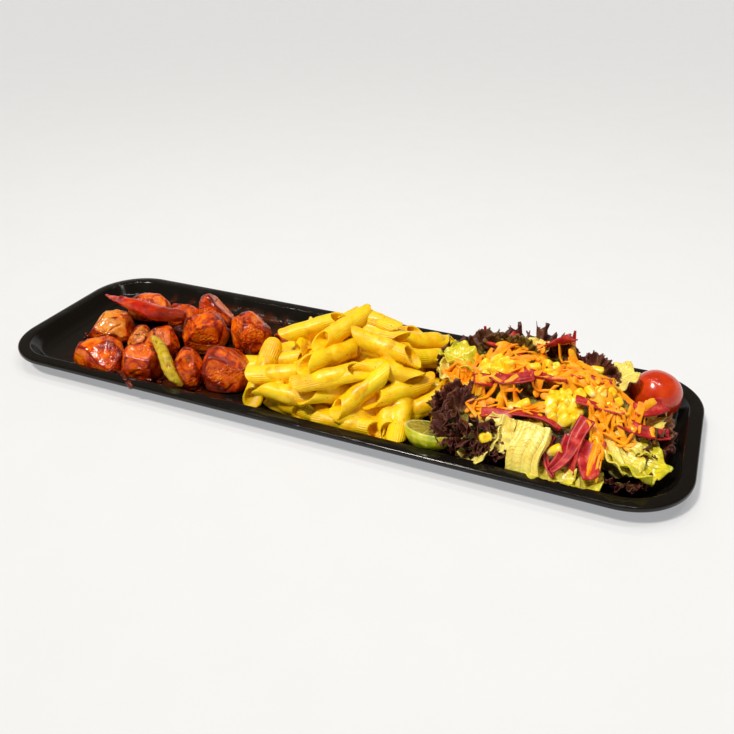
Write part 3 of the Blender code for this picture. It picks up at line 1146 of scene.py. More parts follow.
def leaf_bed():
    finish = Finish("packed leaves")
    patch = finish.noise(12 * MM, 4, 0.6, 0.8)
    colour = finish.ramp(
        patch,
        (
            (0.30, (0.045, 0.010, 0.005)),
            (0.46, (0.10, 0.06, 0.008)),
            (0.56, (0.24, 0.22, 0.015)),
            (0.70, (0.50, 0.42, 0.08)),
        ),
    )
    folds = finish.noise(5 * MM, 5, 0.65, 1.0)
    return finish.surface(
        Base_Color=colour,
        Roughness=0.42,
        Coat_Weight=0.3,
        Coat_Roughness=0.2,
        Normal=finish.relief(folds, 2.5 * MM, 0.9),
    )


def pale_floor(colour, glow=0.62):
    finish = Finish("pale floor")
    grain = finish.noise(40 * MM, 4)
    tone = finish.blend(grain.between(0.3, 0.7) * 0.25, colour, tuple(c * 0.96 for c in colour))
    return finish.surface(
        Base_Color=tone, Roughness=0.9, Emission_Color=tone, Emission_Strength=glow
    )


# --------------------------------------------------------------------------------------------
# The tray


def arc(inset, height, radius, start, end, steps):
    """Points (inset, height) on an arc about a centre given the same way, angles in degrees."""
    angles = [math.radians(start + (end - start) * k / steps) for k in range(steps + 1)]
    return [(inset + radius * math.cos(a), height + radius * math.sin(a)) for a in angles]


def tray_profiles(rim):
    """The upper side from the outer edge to the floor, and the lower side to the middle."""
    top = TRAY_HIGH.z
    upper = [
        *arc(1.2 * MM, top - 1.2 * MM, 1.2 * MM, 180, 90, 5),
        *arc(rim, top - 2 * MM, 2 * MM, 90, 35, 6),
        *arc(18 * MM, 10.2 * MM, 7 * MM, 215, 270, 8),
    ]
    lower = [
        *arc(0.8 * MM, top - 2.4 * MM, 0.8 * MM, 180, 270, 4),
        (1.8 * MM, top - 3.2 * MM),
        (2.6 * MM, top - 2.4 * MM),
        (6.6 * MM, top - 2.4 * MM),
        *arc(18 * MM, 10.2 * MM, 9.4 * MM, 215, 270, 6),
        (20.0 * MM, 0.8 * MM),
        (20.3 * MM, 0),
        (23.0 * MM, 0),
        (23.3 * MM, 0.8 * MM),
    ]
    return upper, lower


def inset_along(profile, rising):
    """Insets the selected face step by step along a profile."""
    for (inset, height), (next_inset, next_height) in zip(profile, profile[1:]):
        depth = (next_height - height) * rising
        bpy.ops.mesh.inset(thickness=next_inset - inset, depth=depth, use_even_offset=True)


def select_faces(piece, test):
    """Selects the faces that pass a test, in edit mode."""
    bpy.ops.mesh.select_all(action="DESELECT")
    bpy.ops.mesh.select_mode(type="FACE")
    shape = bmesh.from_edit_mesh(piece.data)
    for face in shape.faces:
        face.select_set(test(face))
    bmesh.update_edit_mesh(piece.data)


def select_edges(piece, test):
    bpy.ops.mesh.select_all(action="DESELECT")
    bpy.ops.mesh.select_mode(type="EDGE")
    shape = bmesh.from_edit_mesh(piece.data)
    for edge in shape.edges:
        edge.select_set(test(edge))
    bmesh.update_edit_mesh(piece.data)


def make_tray(settings):
    upper, lower = tray_profiles(settings.rim)
    low, high = lower[0][1], upper[0][1]
    size = TRAY_HIGH - TRAY_LOW
    deselect()
    bpy.ops.mesh.primitive_cube_add(size=1, location=(0, 0, (low + high) / 2))
    tray = bpy.context.object
    tray.name = "melamine_tray"
    tray.scale = (size.x, size.y, high - low)
    apply_place(tray)
    edit(tray)
    select_edges(tray, lambda edge: abs(edge.verts[0].co.z - edge.verts[1].co.z) > MM / 10)
    bpy.ops.mesh.bevel(offset=settings.corner, offset_type="OFFSET", segments=24, affect="EDGES")
    select_faces(tray, lambda face: face.normal.z > 0.9)
    inset_along(upper, 1)
    select_faces(tray, lambda face: face.normal.z < -0.9 and face.calc_area() > size.x * size.y / 2)
    inset_along(lower, -1)
    leave_edit()
    return dress(tray, melamine(settings.colour), "tray", "tray", sharp=38)


# --------------------------------------------------------------------------------------------
# Chicken, chilli and pepper


def spare_sides(number):
    """Flat sides all round a chunk, besides its own ones."""
    draw = random.Random(number * 17 + 4)
    return [
        (k * 72 + draw.uniform(-25, 25), draw.uniform(-10, 60), draw.uniform(0.79, 0.88))
        for k in range(5)
    ]


def flatten_sides(piece, sides, low, high):
    """Cuts a lump back to flat sides, then stretches it to fill the wanted box again."""
    points = points_of(piece)
    middle = (points.min(0) + points.max(0)) / 2
    points = middle + (points - middle) * 1.05
    for heading, rise, share in sides:
        turn, climb = radians((heading, rise))
        side = (math.cos(climb) * math.cos(turn), math.cos(climb) * math.sin(turn), math.sin(climb))
        out = (points - middle) @ np.array(side)
        beyond = np.clip(out - out.max() * share, 0, None)
        points = points - beyond[:, None] * 0.95 * np.array(side)
    middle = (points.min(0) + points.max(0)) / 2
    points = (low + high) / 2 + (points - middle) * (high - low) / (points.max(0) - points.min(0))
    piece.data.vertices.foreach_set("co", points.ravel())
    piece.data.update()


def find_edges(piece, rounds=70):
    """How far each point stands out of a much smoothed copy, from -1 in folds to 1 on edges."""
    soft = copy_at(piece, Matrix.Identity(4))
    add_modifier(soft, "SMOOTH", factor=0.5, iterations=rounds)
    apply_modifiers(soft)
    normals = np.array([tuple(vertex.normal) for vertex in piece.data.vertices])
    out = ((points_of(piece) - points_of(soft)) * normals).sum(1)
    remove([soft])
    usual, most = np.percentile(out, (45, 95))
    return np.clip((out - usual) / (most - usual), -1, 1)


def carve_chunk(piece, number, heading, bare, fold):
    """Gives a chunk its lumps, folds and fibres, and notes its edges, its painted shade in the
    folds and at its foot, and its bare meat.
    """
    grain = Matrix.Rotation(-math.radians(heading), 3, "Z")
    offset = Vector((number * 7.3, number * 3.1, 0))
    low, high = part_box(CHUNKS[number])
    middle = (low + high) / 2
    painted_shades = []
    bares = []
    store(piece, "edge", find_edges(piece))

    def depth(place, normal):
        local = grain @ (place - middle) / MM
        lumps = 0.8 * noise.noise(local / 12 + offset) + 0.45 * noise.noise(local / 5 - offset)
        crease = noise.noise(Vector((local.x / 42, local.y / 8, local.z / 9)) + offset * 1.7)
        cleft = (1 - step(0.0, 0.16, abs(crease))) ** 1.5
        deep = cleft * step(0.12, 0.40, noise.noise(local / 12 - offset))
        fibres = noise.noise(Vector((local.x / 9, local.y / 1.7, local.z / 1.7)) + offset)
        ragged = step(0.05, 0.35, noise.noise(local / 8 + offset * 0.6)) * (0.35 + bare)
        wander = 4 * noise.noise(local / 6 - offset)
        # Painted shade: the folds and the foot of the chunk are stored as darker for the material.
        under = 1 - step(1, 9, (place.z - low.z) / MM + wander)
        painted_shades.append(min(1, deep * 0.8 + under * 0.65))
        facing = noise.noise(local / 12 + offset * 2.3) * 0.8 + 0.5 + 0.25 * normal.z
        bares.append(bare * step(0.15, 0.75, facing) + 0.25 * deep * bare)
        return MM * (0.9 * lumps + (0.02 + 0.30 * ragged) * fibres) - fold * deep

    push(piece, depth)
    for vertex in piece.data.vertices:
        vertex.co.z = max(vertex.co.z, FOOD_BOTTOM)
    store(piece, "hollow", painted_shades)
    store(piece, "bare", bares)


def make_chunk(number, settings, material):
    node = CHUNKS[number]
    heading, bare, glaze = CHUNK_LOOKS[node]
    low, high = (np.array(corner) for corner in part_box(node))
    chunk = from_node("glazed_" + node, node, settings.detail, smoothing=2)
    sides = list(CHUNK_SIDES[node]) + spare_sides(number)
    flatten_sides(chunk, sides, low - glaze * MM, high + glaze * MM)
    add_modifier(chunk, "REMESH", mode="VOXEL", voxel_size=settings.detail)
    add_modifier(chunk, "SMOOTH", factor=0.5, iterations=10)
    apply_modifiers(chunk)
    carve_chunk(chunk, number, heading, bare, settings.fold)
    return dress(chunk, material, "chicken", node)


def make_chilli():
    chilli = from_node("glazed_chilli", "chilli", 0.55 * MM, smoothing=6)

    def depth(place, normal):
        local = place / MM
        wrinkle = noise.noise(Vector((local.x / 9, local.y / 2.2, local.z / 2.2)))
        dent = noise.noise(local / 6 + Vector((4, 1, 9)))
        return MM * (0.35 * wrinkle + 0.7 * dent)

    push(chilli, depth)
    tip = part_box("chilli")[0].x
    shift, stretch = 6 * MM, 1.03
    for vertex in chilli.data.vertices:
        vertex.co.x = tip + shift + (vertex.co.x - tip) * stretch
    return dress(chilli, red_skin(), "chilli", "chilli")


def make_pepper():
    strip = from_node("fried_pepper_strip", "green_pepper", 0.5 * MM, smoothing=4)

    def depth(place, normal):
        local = place / MM
        return MM * (0.7 + 0.6 * noise.noise(local / 5) + 0.25 * noise.noise(local / 1.8))

    push(strip, depth)
    low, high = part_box("green_pepper")
    lean = mm((6.0, -1.5, 0))
    for vertex in strip.data.vertices:
        down = (high.z - vertex.co.z) / (high.z - low.z)
        vertex.co += lean * down
    return dress(strip, green_skin(), "pepper", "green_pepper")


def make_drops(name, places, material):
    """Flattened drops of sauce that run together: middle and half sizes (mm), turn (degrees)."""
    drops = []
    for place, half_sizes, turn in places:
        deselect()
        bpy.ops.mesh.primitive_ico_sphere_add(subdivisions=3, radius=1, location=mm(place))
        drop = bpy.context.object
        drop.scale = mm(half_sizes)
        drop.rotation_euler.z = math.radians(turn)
        apply_place(drop)
        drops.append(drop)
    puddle = join(drops, name)
    add_modifier(puddle, "REMESH", mode="VOXEL", voxel_size=0.5 * MM)
    add_modifier(puddle, "SMOOTH", factor=0.5, iterations=4)
    apply_modifiers(puddle)
    push(puddle, lambda place, normal: 0.35 * MM * noise.noise(place / (2.6 * MM)))
    return dress(puddle, material, "chicken")


def sauce_places():
    """Sauce round and between the chunks, and the drops that ran over the near rim."""
    draw = random.Random(5)
    places = []
    for node in CHUNKS:
        low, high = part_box(node)
        middle = (low + high) / 2 / MM
        reach = (high - low) / 2 / MM
        for _ in range(5):
            turn = draw.uniform(0, math.tau)
            x = middle.x + math.cos(turn) * reach.x * draw.uniform(0.75, 1.0)
            y = middle.y + math.sin(turn) * reach.y * draw.uniform(0.75, 1.0)
            if abs(y) < 52:
                size = draw.uniform(2.5, 6)
                half_sizes = (size, size * draw.uniform(0.5, 1), 1.3)
                places.append(((x, y, 3.4), half_sizes, draw.uniform(0, 180)))
    spill = (
        ((-124, -55.0, 8.6), (5.0, 1.6, 1.4), 0),
        ((-126, -57.5, 10.6), (4.5, 1.8, 1.4), 0),
        ((-121, -59.8, 12.4), (3.4, 1.8, 1.2), -20),
        ((-117, -62.5, 12.8), (2.6, 1.8, 1.0), -35),
        ((-113.5, -65.2, 12.8), (2.4, 1.7, 0.9), -40),
        ((-108.9, -67.6, 12.3), (2.4, 1.9, 1.2), 0),
        ((-106.8, -69.0, 10.9), (2.2, 1.2, 2.1), 0),
        ((-157, -60.6, 12.2), (1.3, 0.9, 0.8), 0),
        ((-149, -61.5, 12.4), (0.8, 0.7, 0.6), 0),
        ((-104, -55.2, 8.8), (3.4, 1.3, 1.1), 0),
        ((-95, -55.6, 9.2), (2.6, 1.2, 1.0), 0),
    )
    bridges = (
        ((-118, -17, 7), (8, 6, 5), 30),
        ((-121, 3, 9), (7, 6, 6), 60),
        ((-99, -22, 7), (9, 6, 4), -20),
        ((-133, -38, 7), (6, 8, 5), 10),
        ((-97, 19, 7), (8, 5, 4), 0),
        ((-143, -32, 6), (7, 5, 3), 20),
    )
    return places + list(spill) + list(bridges)


def make_crumbs():
    """Bits of browned crust in the sauce by the chunks."""
    draw = random.Random(9)
    crumbs = []
    patches = (
        ((-186, -14), (4, 10), 16),
        ((-128, -59), (9, 2), 10),
        ((-100, 22), (16, 8), 12),
        ((-140, 38), (20, 7), 8),
    )
    for (x, y), (reach_x, reach_y), count in patches:
        for _ in range(count):
            place = Vector((draw.gauss(x, reach_x / 2), draw.gauss(y, reach_y / 2), 3.9)) * MM
            if place.y < -0.052:
                place.z = 12.6 * MM if place.y < -0.060 else 8.5 * MM
            deselect()
            radius = draw.uniform(0.5, 1.2) * MM
            bpy.ops.mesh.primitive_ico_sphere_add(subdivisions=2, radius=radius, location=place)
            crumb = bpy.context.object
            crumb.scale = (draw.uniform(0.7, 1.6), draw.uniform(0.7, 1.3), draw.uniform(0.5, 0.9))
            apply_place(crumb)
            crumbs.append(crumb)
    made = join(crumbs, "browned_crumbs")
    push(made, lambda place, normal: 0.3 * MM * noise.noise(place / (0.9 * MM)))
    return dress(made, dark_sauce(), "chicken")


# --------------------------------------------------------------------------------------------
# Penne


def model_tube(settings, squash, bend):
    """One tube along X with slanted ends; its opening at each end slants the same way."""
    deselect()
    bpy.ops.mesh.primitive_cylinder_add(
        vertices=26,
        radius=settings.radius,
        depth=settings.length,
        end_fill_type="NOTHING",
        rotation=(0, math.pi / 2, 0),
    )
    tube = bpy.context.object
    apply_place(tube)
    edit(tube)
    select_edges(tube, lambda edge: abs(edge.verts[0].co.x - edge.verts[1].co.x) > MM)
    bpy.ops.mesh.subdivide(number_cuts=11)
    slant = Vector((math.cos(END_SLANT), 0, math.sin(END_SLANT)))
    for end in (1, -1):
        bpy.ops.mesh.select_all(action="SELECT")
        middle = end * (settings.length / 2 - settings.radius * math.tan(END_SLANT))
        bpy.ops.mesh.bisect(
            plane_co=(middle, 0, 0), plane_no=tuple(slant * end), clear_outer=True, use_fill=False
        )
    leave_edit()
    add_modifier(tube, "SOLIDIFY", thickness=settings.wall, offset=-1, use_rim=True)
    add_modifier(tube, "BEVEL", width=0.35 * MM, segments=2, limit_method="ANGLE", angle_limit=0.9)
    apply_modifiers(tube)
    half = settings.length / 2
    for vertex in tube.data.vertices:
        vertex.co.y /= math.sqrt(squash)
        vertex.co.z = vertex.co.z * squash + bend * (vertex.co.x / half) ** 2
    return tube


def model_plug(settings):
    """The sauce inside and round a tube, short of its ends."""
    deselect()
    depth = settings.length - 4.2 * settings.radius
    bpy.ops.mesh.primitive_cylinder_add(
        vertices=16, radius=settings.radius + 0.35 * MM, depth=depth, rotation=(0, math.pi / 2, 0)
    )
    plug = bpy.context.object
    apply_place(plug)
    edit(plug)
    select_edges(plug, lambda edge: abs(edge.verts[0].co.x - edge.verts[1].co.x) > MM)
    bpy.ops.mesh.subdivide(number_cuts=9)
    leave_edit()
    for vertex in plug.data.vertices:
        narrow = 1 - 0.34 * abs(2 * vertex.co.x / depth) ** 3
        vertex.co.y *= narrow
        vertex.co.z *= narrow
    return plug


def hidden_tubes(count, surface):
    """Tubes under and behind the ones that show, at random within the heap."""
    draw = random.Random(31)
    tubes = []
    while len(tubes) < count:
        x, y = draw.uniform(-34, 74), draw.uniform(-44, 47)
        if abs((x - 18) / 60) ** 2 + abs((y - 2) / 52) ** 2 > 1:
            continue
        roof = float(surface.height(np.array([[x * MM, y * MM, 0]]))[0]) / MM
        if roof > 16:
            middle = (x, y, draw.uniform(9, roof - 6))
            tubes.append((middle, draw.uniform(0, 180), draw.gauss(0, 10), draw.uniform(0, 360)))
    return tubes


def settle(tubes, pinned, surface, radius, length, rounds=70):
    """Pushes tubes that cut into each other apart, keeping the pinned ones near their places."""
    beads = 7
    reach = np.linspace(-1, 1, beads) * (length / 2 - radius)
    middles = np.array([mm(place) for place, *_ in tubes])
    axes = np.array([upright((0, 0, 0), turn, rise).col[0][:3] for _, turn, rise, _ in tubes])
    starts, start_axes = middles.copy(), axes.copy()
    weight = np.where(np.arange(len(tubes)) < pinned, 0.25, 1.0)[:, None, None]
    same = np.repeat(np.arange(len(tubes)), beads)
    other = same[:, None] != same[None]
    for _ in range(rounds):
        places = middles[:, None] + axes[:, None] * reach[None, :, None]
        flat = places.reshape(-1, 3)
        apart = flat[:, None] - flat[None]
        distance = np.linalg.norm(apart, axis=2) + 1e-9
        overlap = np.clip(radius * 1.9 - distance, 0, None) * other
        shift = (apart / distance[..., None] * overlap[..., None]).sum(1) * 0.30
        shift = np.clip(shift, -1.2 * MM, 1.2 * MM).reshape(places.shape) * weight
        shift[pinned:, :, 2] -= 0.25 * MM
        places = places + shift
        roof = surface.height(places.reshape(-1, 3)).reshape(places.shape[:2])
        high = np.maximum(roof - radius * 0.8, FLOOR_TOP + radius)
        places[pinned:, :, 2] = np.minimum(places[pinned:, :, 2], high[pinned:])
        places[..., 2] = np.maximum(places[..., 2], FLOOR_TOP + radius)
        places[..., 1] = np.clip(places[..., 1], -53 * MM, 53 * MM)
        middles = places.mean(1)
        axes = ((places - middles[:, None]) * reach[None, :, None]).sum(1)
        axes /= np.linalg.norm(axes, axis=1)[:, None]
        middles[:pinned] += (starts[:pinned] - middles[:pinned]) * 0.12
        axes[:pinned] += (start_axes[:pinned] - axes[:pinned]) * 0.12
        axes /= np.linalg.norm(axes, axis=1)[:, None]
    rolls = [tube[-1] for tube in tubes]
    return [(Vector(place), Vector(axis), roll) for place, axis, roll in zip(middles, axes, rolls)]


def tube_matrix(middle, axis, roll):
    heading = math.degrees(math.atan2(axis.y, axis.x))
    rise = math.degrees(math.asin(max(-1, min(1, axis.z))))
    return upright(middle, heading, rise, roll)


def make_penne(settings):
    surface = Pile(PENNE_LOW, PENNE_HIGH, [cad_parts["penne_heap"]])
    tubes = list(SHOWN_PENNE) + hidden_tubes(HIDDEN_PENNE, surface)
    places = settle(tubes, len(SHOWN_PENNE), surface, settings.radius, settings.length)
    draw = random.Random(12)
    bends = ((0.95, 0.6), (0.86, -0.9), (1.0, 0.4), (0.80, 1.4), (0.91, -0.4), (0.74, 0.5))
    models = [model_tube(settings, squash, bend * MM) for squash, bend in bends]
    plug = model_plug(settings)
    matrices = [tube_matrix(*place) for place in places]
    penne = join([copy_at(draw.choice(models), matrix) for matrix in matrices], "penne_tubes")
    sauce = join([copy_at(plug, matrix) for matrix in matrices], "cream_sauce")
    remove(models + [plug])

    def dent(place, normal):
        return MM * (0.75 * noise.noise(place / (8 * MM)) + 0.15 * noise.noise(place / (2 * MM)))

    push(penne, dent)
    add_core(sauce)
    add_modifier(sauce, "REMESH", mode="VOXEL", voxel_size=1.0 * MM)
    add_modifier(sauce, "SMOOTH", factor=0.6, iterations=5)
    apply_modifiers(sauce)
    push(sauce, lambda place, normal: MM * (0.8 * noise.noise(place / (8 * MM)) + 0.05))
    for vertex in sauce.data.vertices:
        vertex.co.z = max(vertex.co.z, FOOD_BOTTOM)
    dress(sauce, cream_sauce(settings.sauce), "penne")
    return dress(penne, pasta_skin(settings.colour), "penne", "penne_heap", sharp=50)


def add_core(sauce):
    """The mass under the tubes, and the sauce that has run out on the tray's floor."""
    masses = (
        ((16, -3, 14), (46, 40, 18)),
        ((16, -44, 5), (44, 9, 4)),
        ((54, -44, 5), (14, 8, 3)),
        ((14, 38, 6), (44, 12, 5)),
    )
    parts = [sauce]
    for place, half_sizes in masses:
        deselect()
        bpy.ops.mesh.primitive_ico_sphere_add(subdivisions=4, radius=1, location=mm(place))
        mass = bpy.context.object
        mass.scale = mm(half_sizes)
        apply_place(mass)
        parts.append(mass)
    join(parts, sauce.name)


# --------------------------------------------------------------------------------------------
# Salad


def salad_pile(*names):
    """What the salad lies on so far."""
    return Pile(SALAD_LOW, SALAD_HIGH, [bpy.data.objects[name] for name in names])


def make_bed():
    """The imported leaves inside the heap, which fill it behind the pieces that show."""
    bed = from_node("salad_bed", "salad_heap", 1.6 * MM, smoothing=8)

    def depth(place, normal):
        local = place / MM
        folds = abs(noise.noise(local / 7)) + 0.5 * abs(noise.noise(local / 3.2))
        return MM * (5.0 * folds - 6.5 - 2.0 * noise.noise(local / 20))

    push(bed, depth)
    for vertex in bed.data.vertices:
        vertex.co.z = max(vertex.co.z, FOOD_BOTTOM)
    return dress(bed, leaf_bed(), "salad", "salad_heap")


def sheet(name, across, along, shape):
    """A sheet from a grid; shape(u, v) gives the place of a point, u and v from 0 to 1."""
    deselect()
    bpy.ops.mesh.primitive_grid_add(x_subdivisions=across, y_subdivisions=along, size=1)
    piece = bpy.context.object
    piece.name = name
    for vertex in piece.data.vertices:
        vertex.co = shape(vertex.co.x + 0.5, vertex.co.y + 0.5)
    return piece


def frilly_shape(size, seed):
    """A fan whose edge is too long for it, so that it stands in ruffles."""
    draw = random.Random(seed)
    fan = math.radians(draw.uniform(130, 200))
    phases = [draw.uniform(0, math.tau) for _ in range(4)]
    counts = (draw.uniform(3, 5), draw.uniform(8, 12), draw.uniform(20, 26))
    cup = draw.uniform(0.1, 0.5)

    def shape(u, v):
        turn = (u - 0.5) * fan
        edge = v * v
        ruffle = sum(
            height * math.sin(math.tau * count * u + phase)
            for height, count, phase in zip((0.17, 0.12, 0.055 * v), counts, phases)
        )
        swing = 0.10 * edge * math.sin(math.tau * counts[1] * u + phases[3])
        reach = size * (0.12 + 0.80 * v + 0.05 * edge * math.sin(math.tau * counts[2] * 1.3 * u))
        ripple = 0.05 * noise.noise(Vector((u * 9, v * 5, seed)))
        height = size * (ruffle * edge + cup * edge * 0.8 + ripple)
        turn += swing
        return Vector((reach * math.cos(turn), reach * math.sin(turn), height))

    return shape


def flat_shape(width, length, seed):
    """A broad crumpled leaf with a raised midrib."""
    draw = random.Random(seed)
    cup, roll = draw.uniform(0.05, 0.30), draw.uniform(-0.35, 0.35)
    offset = draw.uniform(0, 50)

    def shape(u, v):
        x, y = v - 0.5, u - 0.5
        outline = 1 - 0.30 * abs(2 * x) ** 3 + 0.10 * noise.noise(Vector((v * 4, offset, u)))
        edge = (2 * abs(y)) ** 2
        crumple = 0.12 * noise.noise(Vector((u * 2.2, v * 2.6, offset)))
        crumple += 0.05 * noise.noise(Vector((u * 6, v * 7, offset)))
        frill = 0.07 * edge * math.sin(v * 21 + offset)
        frill += 0.05 * max(0, 2 * x) ** 2 * math.sin(u * 24)
        rib = 0.07 * math.exp(-((y / 0.06) ** 2)) * (1 - v * 0.7)
        height = min(width, length) * (crumple + frill + rib + cup * edge + roll * y * x * 2)
        reach = x * length * (1 + 0.06 * math.sin(u * 9 + offset))
        return Vector((reach, y * width * outline, height))

    return shape


def thicken(piece, thickness):
    add_modifier(piece, "SOLIDIFY", thickness=thickness, offset=0)
    apply_modifiers(piece)


def make_frilly_leaves():
    leaves = []
    for number, (place, heading, tilt, size, green) in enumerate(FRILLY_LEAVES):
        leaf = sheet("frilly", 110, 14, frilly_shape(size * MM, 40 + number))
        thicken(leaf, 0.35 * MM)
        leaf.data.transform(upright(mm(place), heading, tilt))
        store(leaf, "green", [green] * len(leaf.data.vertices))
        leaves.append(leaf)
    return dress(join(leaves, "frilly_red_leaves"), frilly_leaf(), "salad")


def make_lettuce():
    leaves = []
    for number, (place, heading, tilt, width, length, green) in enumerate(LETTUCE):
        leaf = sheet("lettuce", 26, 30, flat_shape(width * MM, length * MM, 70 + number))
        thicken(leaf, 0.7 * MM)
        leaf.data.transform(upright(mm(place), heading, tilt))
        store(leaf, "green", [green] * len(leaf.data.vertices))
        leaves.append(leaf)
    return dress(join(leaves, "pale_lettuce"), lettuce_leaf(), "salad")


def make_rib():
    """The thick ribbed piece of lettuce heart that leans on the front of the heap."""

    def shape(u, v):
        ridges = 0.9 * math.sin(u * math.tau * 3.2 + 0.6) + 0.4 * math.sin(u * math.tau * 7 + v * 3)
        bow = 2.4 * math.sin(v * math.pi) + 1.2 * math.sin(u * math.pi)
        ragged = 1.2 * noise.noise(Vector((u * 5, v * 5, 3)))
        side = (u - 0.5) * 17 + 0.8 * math.sin(v * 7)
        return mm(((v - 0.5) * 26 + ragged, side, ridges * 0.6 + bow))

    rib = sheet("lettuce_heart", 40, 30, shape)
    thicken(rib, 3.4 * MM)
    add_modifier(rib, "BEVEL", width=0.8 * MM, segments=2, limit_method="ANGLE", angle_limit=0.9)
    apply_modifiers(rib)
    rib.data.transform(upright(mm((137, -50, 19.5)), 262, -50))
    store(rib, "green", [0.18] * len(rib.data.vertices))
    return dress(rib, lettuce_leaf(), "salad")


def make_red_strips():
    strips = []
    draw = random.Random(17)
    for place, heading, rise, length, width, tip, curl in RED_STRIPS:
        def shape(u, v):
            across = width + (tip - width) * v**1.5
            cupped = 0.18 * width * (2 * u - 1) ** 2
            return Vector((v, (u - 0.5) * across * MM, (cupped + 0.3 * math.sin(u * 11)) * MM))

        strip = sheet("strip", 8, 30, shape)
        turn, climb = math.radians(heading), math.radians(rise)
        path = []
        spot = mm(place)
        for _ in range(13):
            path.append(spot.copy())
            level = math.cos(climb)
            ahead = Vector((level * math.cos(turn), level * math.sin(turn), math.sin(climb)))
            spot += ahead * length / 12 * MM
            turn += curl / 8 + draw.gauss(0, 0.06)
            climb += draw.gauss(0, 0.08)
        follow(strip, path, lambda along, curl=curl: along * curl * 1.6)
        thicken(strip, 0.9 * MM)
        strips.append(strip)
    return dress(join(strips, "red_leaf_strips"), red_strip(), "salad")


def model_shred(width):
    """One shred along X from 0 to 1, thin, with worn edges and narrow ends."""
    deselect()
    bpy.ops.mesh.primitive_cube_add(size=1, location=(0.5, 0, 0))
    shred = bpy.context.object
    shred.scale = (1, width, width * 0.45)
    apply_place(shred)
    edit(shred)
    select_edges(shred, lambda edge: abs(edge.verts[0].co.x - edge.verts[1].co.x) > 0.5)
    bpy.ops.mesh.bevel(offset=width * 0.12, segments=1, affect="EDGES")
    select_edges(shred, lambda edge: abs(edge.verts[0].co.x - edge.verts[1].co.x) > 0.5)
    bpy.ops.mesh.subdivide(number_cuts=15)
    leave_edit()
    for vertex in shred.data.vertices:
        end = 1 - 0.65 * abs(2 * vertex.co.x - 1) ** 6
        vertex.co.y *= end
        vertex.co.z *= end
    return shred


def lay_shred(model, pile, roof, place, heading, length, bend, lift, swell):
    """Lays a stiff shred on the leaves, at its own height among the others."""
    count = 8
    points = []
    turn = heading - bend / 2
    spot = Vector(place) - Vector((math.cos(heading), math.sin(heading))) * length / 2
    for _ in range(count + 1):
        points.append((spot.x, spot.y, 0))
        turn += bend / count
        spot += Vector((math.cos(turn), math.sin(turn))) * length / count
    points = np.array(points)
    heights = pile.height(points)
    along = np.linspace(-1, 1, count + 1)
    slope = np.clip((heights * along).sum() / (along**2).sum(), -length, length)
    straight = heights.mean() + along * slope
    laid = np.maximum(straight * 0.65 + heights * 0.35, heights - 1.0 * MM)
    laid = np.minimum(laid + lift, np.maximum(roof.height(points) + 0.5 * MM, heights))
    path = [Vector((x, y, z)) for (x, y, _), z in zip(points, laid)]
    shred = copy_at(model, Matrix.Diagonal((1, swell, min(swell, 1.1), 1)))
    return follow(shred, path, lambda along: 0.9 * math.sin(along * 2.5 + place[0] * 900))


def make_carrot(settings):
    pile = salad_pile("salad_bed", "pale_lettuce", "red_leaf_strips")
    roof = Pile(SALAD_LOW, SALAD_HIGH, [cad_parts["salad_heap"]])
    model = model_shred(settings.shred)
    draw = random.Random(23)
    shreds = []
    for (x, y), (reach_x, reach_y), count, heading, spread in CARROT_PATCHES:
        for _ in range(int(count * CARROT_SHARE)):
            place = (draw.gauss(x, reach_x * 0.55) * MM, draw.gauss(y, reach_y * 0.55) * MM)
            turn = math.radians(draw.gauss(heading, spread))
            length = draw.uniform(9, 22) * MM
            bend, lift = draw.gauss(0, 0.5), draw.uniform(0.3, 4.2) * MM
            swell = draw.uniform(0.7, 1.6)
            shreds.append(lay_shred(model, pile, roof, place, turn, length, bend, lift, swell))
    remove([model])
    return dress(join(shreds, "carrot_shreds"), carrot_flesh(settings.carrot), "salad", sharp=50)


def model_kernel(length):
    """One kernel that stands on its root: a wedge with a plump, slightly dented crown."""
    deselect()
    bpy.ops.mesh.primitive_cube_add(size=1)
    kernel = bpy.context.object
    kernel.scale = (length * 0.86, length * 0.66, length)
    apply_place(kernel)
    add_modifier(kernel, "BEVEL", width=length * 0.24, segments=2, limit_method="NONE")
    add_modifier(kernel, "SUBSURF", levels=2, render_levels=2)
    apply_modifiers(kernel)
    low = min(vertex.co.z for vertex in kernel.data.vertices)
    high = max(vertex.co.z for vertex in kernel.data.vertices)
    roots = []
    for vertex in kernel.data.vertices:
        share = (vertex.co.z - low) / (high - low)
        width = 0.60 + 0.42 * share**0.8
        vertex.co.x *= width
        vertex.co.y *= width
        off_middle = math.hypot(vertex.co.x, vertex.co.y) / length
        vertex.co.z -= 0.09 * length * math.exp(-((off_middle / 0.16) ** 2)) * step(0.7, 1, share)
        roots.append(1 - step(0.10, 0.45, share))
    store(kernel, "root", roots)
    return kernel


